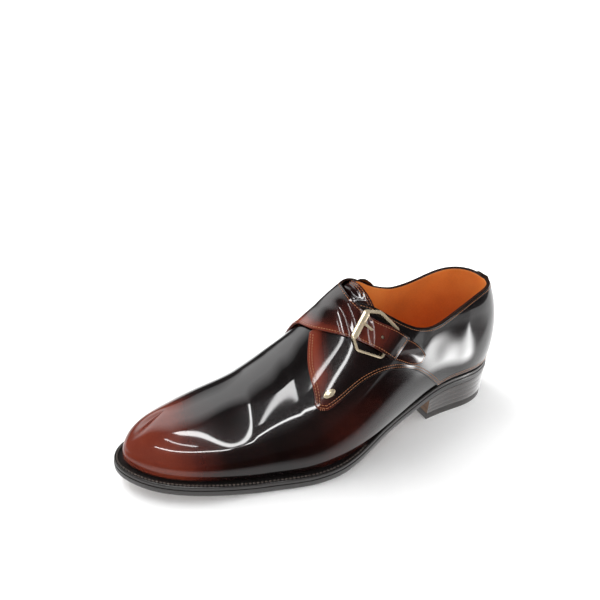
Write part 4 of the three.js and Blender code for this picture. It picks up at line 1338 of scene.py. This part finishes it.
def heel_stack_piece():
    """Heel of leather lifts, with a fine groove at each joint and a bare breast."""
    lifts = 4
    grooves = ((0.0, 0.05), (0.1, 0.0), (0.9, 0.0), (1.0, 0.05))
    rows = dict.fromkeys(((k + share) / lifts, inset) for k in range(lifts) for share, inset in grooves)
    bottom = TOP_LIFT + SINK
    rings = [
        heel_ring(
            HEEL_TAPER * (1 - up) + HEEL_SETBACK * up, inset,
            lambda x: bottom * (1 - up) + (underside(x) - SINK) * up,
        )
        for up, inset in rows
    ]
    piece = block("heel_stack", rings, [stack_leather, bare_leather], front=1)
    return dress(piece, "heel_leather", "heel_stack")


def top_lift_piece():
    """Rubber lift under the heel."""
    profile = [
        (0.5, 0), (0.1, 0.35), (0, 0.9), (0, TOP_LIFT - 0.5), (0.15, TOP_LIFT - 0.12), (0.4, TOP_LIFT),
    ]
    rings = [
        heel_ring(HEEL_TAPER + HEEL_SETBACK * (1 - z / TOP_LIFT), inset, lambda x: np.full_like(x, z))
        for inset, z in profile
    ]
    return dress(block("heel_top_lift", rings, [rubber]), "heel_rubber", "heel_top_lift")


# The buckle's own frame: its hinge line, and the directions toward the front bar, across and outward
corner_places = [on_last(s, w, over) for s, w, over in BUCKLE_CORNERS]
hinge_middle = (corner_places[3] + corner_places[4]) / 2
bar_middle = (corner_places[0] + corner_places[1]) / 2
ACROSS = unit(corner_places[3] - corner_places[4])
toward_bar = bar_middle - hinge_middle
toward_bar = toward_bar - ACROSS * (toward_bar @ ACROSS)
BUCKLE_LENGTH = np.linalg.norm(toward_bar)
TOWARD_BAR = unit(toward_bar)
OUT = unit(np.cross(TOWARD_BAR, ACROSS))
if OUT[1] < 0:
    OUT = -OUT


def at_buckle(forward, side, out):
    """A place by its distances from the middle of the hinge bar."""
    return hinge_middle + TOWARD_BAR * forward + ACROSS * side + OUT * out


def softened(shape, share=0.12):
    """A section with each of its corners cut off a little."""
    points = []
    for i, (x, y) in enumerate(shape):
        for other in (shape[i - 1], shape[(i + 1) % len(shape)]):
            points.append((x + (other[0] - x) * share, y + (other[1] - y) * share))
    return points


BAR_SHAPE = softened([(1, -0.9), (1, 0.2), (0.45, 1), (-0.45, 1), (-1, 0.2), (-1, -0.9)])


def corner_reach(corners, i, reach):
    """How far from a corner its arc starts."""
    here = corners[i % len(corners)]
    legs = [np.linalg.norm(corners[k % len(corners)] - here) for k in (i - 1, i + 1)]
    return min(reach, 0.45 * min(legs))


def rounded_corners(corners, reach, steps):
    """A closed path through corners, each turned as an arc, with the number of the leg at each point."""
    path = []
    count = len(corners)
    for i, here in enumerate(corners):
        before, after = corners[i - 1], corners[(i + 1) % count]
        near = corner_reach(corners, i, reach)
        start = here + unit(before - here) * near
        end = here + unit(after - here) * near
        for u in np.linspace(0, 1, steps):
            place = start * (1 - u) ** 2 + 2 * here * u * (1 - u) + end * u * u
            path.append((place, (i - 1) % count, i, u))
        finish = after + unit(here - after) * corner_reach(corners, i + 1, reach)
        for u in (0.25, 0.5, 0.75):
            path.append((end * (1 - u) + finish * u, i, i, 0.0))
    return path


def swept(name, centers, sideways, outs, sizes, shape, closed, sharp):
    """A bar whose section goes along a path, with its width and height at each point."""
    scaled = np.array(shape) * np.asarray(sizes)[:, None] / 2
    rings = centers[:, None] + sideways[:, None] * scaled[..., :1] + outs[:, None] * scaled[..., 1:]
    return tube(name, rings, [metal], sharp, closed)


def bevelled(piece, width):
    """The piece with its sharp edges rounded."""
    modifier = piece.modifiers.new("bevel", "BEVEL")
    modifier.width = width * MM
    modifier.segments = 3
    modifier.limit_method = "ANGLE"
    modifier.angle_limit = math.radians(28)
    piece = finished(piece)
    piece.data.shade_smooth()
    piece.data.set_sharp_from_angle(angle=math.radians(50))
    return piece


def buckle_frame_piece():
    """Buckle frame: a broad facetted front bar, thin arms and a round hinge bar."""
    bar = (BAR_WIDTH + BAR_BROADER, BUCKLE)
    front_arm = (ARM_WIDTH + ARM_BROADER, BUCKLE)
    rear_arm = (ARM_WIDTH, BUCKLE)
    hinge = (2 * HINGE_RADIUS, 2 * HINGE_RADIUS)
    leg_sizes = np.array([bar, front_arm, front_arm, hinge, rear_arm, rear_arm])
    path = rounded_corners(corner_places, CORNER_ROUNDING, CORNER_STEPS)
    centers = np.array([place for place, _, _, _ in path])
    runs = unit(np.roll(centers, -1, axis=0) - np.roll(centers, 1, axis=0))
    outs = unit(OUT - runs * (runs @ OUT)[:, None])
    sideways = np.cross(runs, outs)
    middle = (hinge_middle + bar_middle) / 2
    sideways *= np.sign(((centers - middle) * sideways).sum(axis=1))[:, None]
    sizes = []
    for _, before, after, u in path:
        blend = ease(0, 1, u)
        sizes.append(leg_sizes[before] * (1 - blend) + leg_sizes[after] * blend)
    piece = swept("buckle_frame", centers, sideways, outs, sizes, BAR_SHAPE, closed=True, sharp=12)
    return dress(piece, "buckle_metal", "buckle_frame")


PRONG_HOLD = HINGE_RADIUS + GAP


def prong_line():
    """The prong's middle from the hinge bar up through the strap and onto the front bar."""
    bar_out = (bar_middle - hinge_middle) @ OUT
    rest = BUCKLE / 2 + PRONG / 2
    start = PRONG_HOLD + PRONG_RING / 2
    rows = [
        (0.4, start), (BUCKLE_LENGTH * 0.3, start + 0.6), (BUCKLE_LENGTH * 0.55, bar_out + rest - 0.3),
        (BUCKLE_LENGTH * 0.8, bar_out + rest + 0.1), (BUCKLE_LENGTH + BAR_WIDTH / 2, bar_out + rest - 0.1),
    ]
    curve = Curve(np.arange(len(rows)), rows)
    return curve(np.linspace(0, len(rows) - 1, 30))


def prong_piece():
    """Prong with a rounded back and tapered tip, and its ring round the hinge bar."""
    line = prong_line()
    run = unit(np.gradient(line, axis=0))
    centers = np.array([at_buckle(forward, 0, out) for forward, out in line])
    outs = run[:, :1] * OUT - run[:, 1:] * TOWARD_BAR
    sideways = np.tile(ACROSS, (len(line), 1))
    taper = 1 - 0.35 * ease(0.85, 1.0, np.linspace(0, 1, len(line)))
    shape = [(1, -0.5), (1, 0.3), (0.5, 1), (-0.5, 1), (-1, 0.3), (-1, -0.5), (-0.7, -1), (0.7, -1)]
    sizes = np.outer(taper, (PRONG_WIDTH, PRONG))
    rod = swept("buckle_prong", centers, sideways, outs, sizes, shape, closed=False, sharp=30)
    half = PRONG_WIDTH / 2
    ring = sleeve("prong_ring", PRONG_HOLD - 0.15, PRONG_HOLD + PRONG_RING, -half, half, metal)
    return dress(together(bevelled(rod, 0.22), ring), "buckle_metal", "buckle_prong")


def sleeve(name, inner, outer, start, end, material, attributes=None):
    """A round sleeve on the hinge line, with softened rims."""
    soft = min(0.25, (outer - inner) / 3)
    profile = np.array([
        (inner, start + soft), (inner + soft, start), (outer - soft, start), (outer, start + soft),
        (outer, end - soft), (outer - soft, end), (inner + soft, end), (inner, end - soft),
    ])
    angles = np.linspace(0, 2 * np.pi, 40, endpoint=False)
    radial = np.outer(np.cos(angles), TOWARD_BAR) + np.outer(np.sin(angles), OUT)
    rings = hinge_middle + radial[:, None] * profile[:, :1] + ACROSS * profile[:, 1:]
    values = {key: np.full(rings.size // 3, value) for key, value in (attributes or {}).items()}
    return tube(name, rings, [material], sharp=40, attributes=values)


def buckle_tab_panel():
    """Leather tab that holds the buckle, sewn to the quarter round its curved edge."""
    edges = Curve(np.arange(len(TAB_ROWS)), TAB_ROWS)
    share = spaced(46, 32, low=False)[None, :]
    u = spaced(26, 16)[:, None]
    row = edges(share * (len(TAB_ROWS) - 1))
    s, w = between(row, u)
    base = GAP + OVERLAY
    dome = 0.7 * (1 - (2 * u - 1) ** 2) * ease(1.0, 0.7, share)
    outer = on_last(s, w, base + GAP + TAB - 0.2 + dome + 0.4 * ease(0.35, 0.0, share))
    inner = on_last(s, w, base - SINK)
    panel = Panel("buckle_tab", outer, inner, 0.22 + 0.1 * ease(0.4, 1.0, share))
    panel.sew(panel.line(np.s_[0, :], np.s_[:, -1], np.s_[-1, ::-1]), TAB_INSET, skip=(3, 3))
    return panel


def tab_piece(panel):
    """The tab with its loop in two halves beside the prong."""
    plate = panel.piece()
    slot = (PRONG_WIDTH + 2 * GAP + 0.4) / 2
    outer = PRONG_HOLD + LOOP_WALL
    looks = {"edge": 5.0, "burnish": 0.3, "sewn": 0.0}
    loops = [
        sleeve("loop_low", PRONG_HOLD - 0.2, outer, -TAB_LOOP_WIDTH / 2, -slot, leather, looks),
        sleeve("loop_high", PRONG_HOLD - 0.2, outer, slot, TAB_LOOP_WIDTH / 2, leather, looks),
    ]
    return dress(together(plate, *loops), "upper_leather", "buckle_tab")


def stud_piece(name, place):
    """Small oval stud, domed, with a fine rim."""
    s, w = place
    profile = [(0, 0), (0.84, 0), (0.96, 0.12), (1, 0.3), (0.97, 0.45), (0.86, 0.5), (0.82, 0.62),
               (0.66, 0.83), (0.42, 0.95), (0.2, 1), (0, 1.02)]
    center = on_last(s, w, GAP + OVERLAY - SINK)
    normal = unit(on_last(s, w, 1) - on_last(s, w, 0))
    run = on_last(s + 0.01, w, 0) - on_last(s - 0.01, w, 0)
    run = unit(run - normal * (run @ normal))
    side = np.cross(normal, run)
    turns = 48
    angles = 2 * np.pi * np.arange(turns) / turns
    oval = np.outer(np.cos(angles) * STUD_LENGTH / 2, run) + np.outer(np.sin(angles) * STUD_WIDTH / 2, side)
    rings = np.array([center + oval * radius + normal * up * (STUD_HEIGHT + GAP) for radius, up in profile])
    first, number = joined(rings)
    points = rings.reshape(-1, 3)[first]
    piece = make_mesh(name, points, grid_faces(with_first(number)), [metal], sharp=35)
    return dress(piece, "buckle_metal", name)


HOLE_RADIUS = 1.05
STRAP_HOLES = [(0.41, 0.44)]


def punched(piece, places):
    """The strap with its holes cut through."""
    cutters = []
    for s, w in places:
        center = on_last(s, w, 6)
        normal = unit(on_last(s, w, 8) - on_last(s, w, 4))
        bpy.ops.mesh.primitive_cylinder_add(vertices=28, radius=HOLE_RADIUS * MM, depth=8 * MM)
        cutter = bpy.context.object
        turn = Vector(normal).to_track_quat("Z", "Y").to_matrix().to_4x4()
        cutter.data.transform(Matrix.Translation(Vector((center + SHIFT) * MM)) @ turn)
        cutters.append(cutter)
    cutter = together(*cutters)
    modifier = piece.modifiers.new("holes", "BOOLEAN")
    modifier.operation = "DIFFERENCE"
    modifier.solver = "EXACT"
    modifier.object = cutter
    piece = finished(piece)
    bpy.data.objects.remove(cutter)
    return piece


def bar_tack():
    """Short tight stitches at the front lower corner of the outer quarter."""
    places = np.array([on_last(0.571 - 0.004 * k, 0.58 + 0.006 * k, GAP + OVERLAY + 0.02) for k in range(3)])
    normals = np.array([unit(on_last(0.57, 0.59, 1) - on_last(0.57, 0.59, 0))] * len(places))
    run = unit(on_last(0.58, 0.58, 0) - on_last(0.56, 0.6, 0))
    across = np.cross(normals[0], run)
    return places, np.array([across] * len(places)), normals


quarter_outer = quarter_outer_panel()
quarter_inner = quarter_inner_panel()
tongue = tongue_panel()
back_strap = back_strap_panel()
tab = buckle_tab_panel()

dress(upper_panel().piece(), "upper_leather", "upper")
dress(quarter_outer.piece(), "upper_leather", "quarter_outer")
dress(punched(quarter_inner.piece(), STRAP_HOLES), "upper_leather", "quarter_inner")
dress(tongue.piece(), "upper_leather", "tongue")
dress(back_strap.piece(), "upper_leather", "back_strap")
tab_piece(tab)
outsole_piece()
welt_piece()
insole_piece()
heel_stack_piece()
top_lift_piece()
buckle_frame_piece()
prong_piece()
stud_piece("stud_outer", STUD_OUTER)
stud_piece("stud_inner", STUD_INNER)

quarter_rows = quarter_outer.rows + quarter_inner.rows + tongue.rows + back_strap.rows + tab.rows
sew_together("panel_stitches", quarter_rows, tan_thread, PANEL_STITCH, "upper_leather")
sew_together("bar_tack", [bar_tack()], tan_thread, TACK_STITCH, "upper_leather")
sew_together("welt_stitches", [welt_stitches()], black_thread, WELT_STITCH, "sole_leather")


def stage_piece(name, points, faces, paint):
    """A piece of the studio round the shoe, from points in metres."""
    return linked(name, new_mesh(name, points, faces, [paint.material]))


def stage_sweep():
    """Pale floor that curves up into a backdrop far behind. It glows as painted light: dim round the shoe,
    so that its shadow shows, and bright further out.
    """
    paint = Paint("studio_white", roughness=0.9, specular_ior_level=0.1)
    paint.set("Base Color", paint.mix(paint.noise(3, 2), (0.88, 0.88, 0.88), (0.91, 0.91, 0.91)))
    x = paint.axis("X") - GLOW_CENTER
    y = paint.axis("Y")
    # Painted light: the floor's glow is faint near the shoe and rises further out.
    paint.glow(0.02 + ((x * x + y * y) ** 0.5).rise(0.14, 0.5) * 0.9)
    radius, curve, height = 4.0, 1.2, 4.0
    profile = [(0.0, 0.0), (radius, 0.0)]
    for angle in np.linspace(0, math.pi / 2, 12)[1:]:
        profile.append((radius + curve * math.sin(angle), curve * (1 - math.cos(angle))))
    profile.append((radius + curve, height))
    turns = 96
    angles = 2 * np.pi * np.arange(turns) / turns
    circle = np.column_stack([np.cos(angles), np.sin(angles), np.zeros(turns)])
    rings = np.array([circle * away + (0, 0, up) for away, up in profile])
    first, place = joined(rings)
    faces = [face[::-1] for face in grid_faces(with_first(place))]
    floor = stage_piece("studio_floor", rings.reshape(-1, 3)[first], faces, paint)
    floor.data.shade_smooth()
    floor.visible_glossy = False


def area_light(name, place, target, size, radiance, glossy=True, diffuse=True):
    """A rectangular light at a place in metres, turned to a target. radiance is what a mirror would show."""
    data = bpy.data.lights.new(name, "AREA")
    data.shape = "RECTANGLE"
    data.size, data.size_y = size
    data.energy = radiance * math.pi * size[0] * size[1]
    light = linked(name, data)
    light.location = place
    light.rotation_euler = (Vector(target) - Vector(place)).to_track_quat("-Z", "Y").to_euler()
    light.visible_camera = False
    light.visible_glossy = glossy
    light.visible_diffuse = diffuse
    return light


def shoe_place(x, y, z):
    """A place given on the last, in metres in the frame."""
    return Vector(((x + SHIFT[0]) * MM, (y + SHIFT[1]) * MM, z * MM))


# Long narrow lights overhead: x and y of both ends in millimetres, width in metres, radiance
TUBE_LIGHTS = {
    "tube_near": ((710, 100), (590, 2400), 0.08, 20),
    "tube_middle": ((1010, 300), (940, 1200), 0.05, 16),
    "tube_far": ((1750, 650), (680, 2700), 0.1, 24),
}
TUBE_HEIGHT = 1500
# The broad soft light behind the shoe: its direction in degrees, its distance and the radiance of each layer
SOFT_AZIMUTH = -59
SOFT_ELEVATION = 50
SOFT_DISTANCE = 1.7
SOFT_LAYERS = 5
SOFT_RADIANCE = 0.52


def lights():
    """Tubes overhead that only the shine shows, a broad soft light behind, and fills hidden from it."""
    for name, (start, end, width, radiance) in TUBE_LIGHTS.items():
        start, end = shoe_place(*start, TUBE_HEIGHT), shoe_place(*end, TUBE_HEIGHT)
        run = end - start
        middle = (start + end) / 2
        below = middle - Vector((0, 0, 1))
        light = area_light(name, middle, below, (run.length, width), radiance, diffuse=False)
        light.rotation_euler = (0, 0, math.atan2(run.y, run.x))
    middle = shoe_place(150, 0, 50)
    azimuth, elevation = math.radians(SOFT_AZIMUTH), math.radians(SOFT_ELEVATION)
    flat = math.cos(elevation)
    direction = Vector((math.cos(azimuth) * flat, math.sin(azimuth) * flat, math.sin(elevation)))
    for k in range(SOFT_LAYERS):
        size = (0.6 + 0.2 * k, 1.3 + 0.22 * k)
        place = middle + direction * (SOFT_DISTANCE + 0.02 * k)
        area_light(f"soft_top_{k}", place, middle, size, SOFT_RADIANCE)
    area_light("fill_behind", middle + direction * 2.1, middle, (1.9, 1.9), 2.6, glossy=False)
    area_light("fill_above", middle + Vector((0.5, 0.3, 2.2)), middle, (2.4, 2.4), 0.5, glossy=False)


def floor_mirror():
    """What the leather mirrors of the floor: bright round the shoe, dark where the studio ends on its outer
    side, with one bright pool beside the heel. Only reflections see this card."""
    paint = Paint("floor_mirror", base_color=(0, 0, 0, 1), roughness=1.0, specular_ior_level=0.0)
    x = paint.axis("X") / MM
    y = paint.axis("Y") / MM
    beside = y.rise(68.0, 28.0)
    ahead = x.rise(175.0, 50.0) * y.rise(-120.0, 80.0)
    near = x.rise(-420.0, 120.0)
    dark = (beside + ahead - beside * ahead) * near
    past = (x + 157.0) * -0.777 + (y - 75.0) * -0.63
    pool = past.hill(6.0, 11.0) * y.rise(55.0, 20.0) * y.rise(330.0, -120.0)
    floor_glow, pool_glow, far_glow = 0.95, 13.0, 0.5
    paint.glow((1.0 - dark) * floor_glow + pool * pool_glow + past.rise(0.0, 30.0) * far_glow)
    reach, height = 0.9, 0.0004
    corners = [(x * reach, y * reach, height) for x, y in ((-1, -1), (1, -1), (1, 1), (-1, 1))]
    card = stage_piece("floor_mirror", corners, [[0, 1, 2, 3]], paint)
    card.visible_camera = False
    card.visible_diffuse = False
    card.visible_shadow = False


def world():
    """Dim surroundings, as a room around a small studio."""
    room = bpy.data.worlds.new("room")
    bpy.context.scene.world = room
    room.use_nodes = True
    background = room.node_tree.nodes["Background"]
    background.inputs["Color"].default_value = (1, 1, 1, 1)
    background.inputs["Strength"].default_value = 0.06


# Camera of the photograph, on the last's axes in millimetres and degrees
CAMERA_PLACE = (330.9, 350.7, 315.5)
CAMERA_YAW = -115.65
CAMERA_PITCH = -27.84
CAMERA_ROLL = 0.45
CAMERA_FOCAL_SHARE = 1.08


def camera():
    """The photograph's view."""
    data = bpy.data.cameras.new("camera")
    data.sensor_width = 36
    data.lens = CAMERA_FOCAL_SHARE * data.sensor_width
    data.clip_start = 0.01
    eye = linked("camera", data)
    yaw, pitch, roll = (math.radians(angle) for angle in (CAMERA_YAW, CAMERA_PITCH, CAMERA_ROLL))
    forward = Vector((math.cos(pitch) * math.cos(yaw), math.cos(pitch) * math.sin(yaw), math.sin(pitch)))
    right = forward.cross(Vector((0, 0, 1))).normalized()
    up = right.cross(forward)
    turned_right = right * math.cos(roll) + up * math.sin(roll)
    turned_up = up * math.cos(roll) - right * math.sin(roll)
    axes = Matrix((turned_right, turned_up, -forward)).transposed().to_4x4()
    eye.matrix_world = Matrix.Translation(shoe_place(*CAMERA_PLACE)) @ axes
    bpy.context.scene.camera = eye


stage_sweep()
floor_mirror()
lights()
world()
camera()
bpy.context.scene.view_settings.view_transform = "Standard"
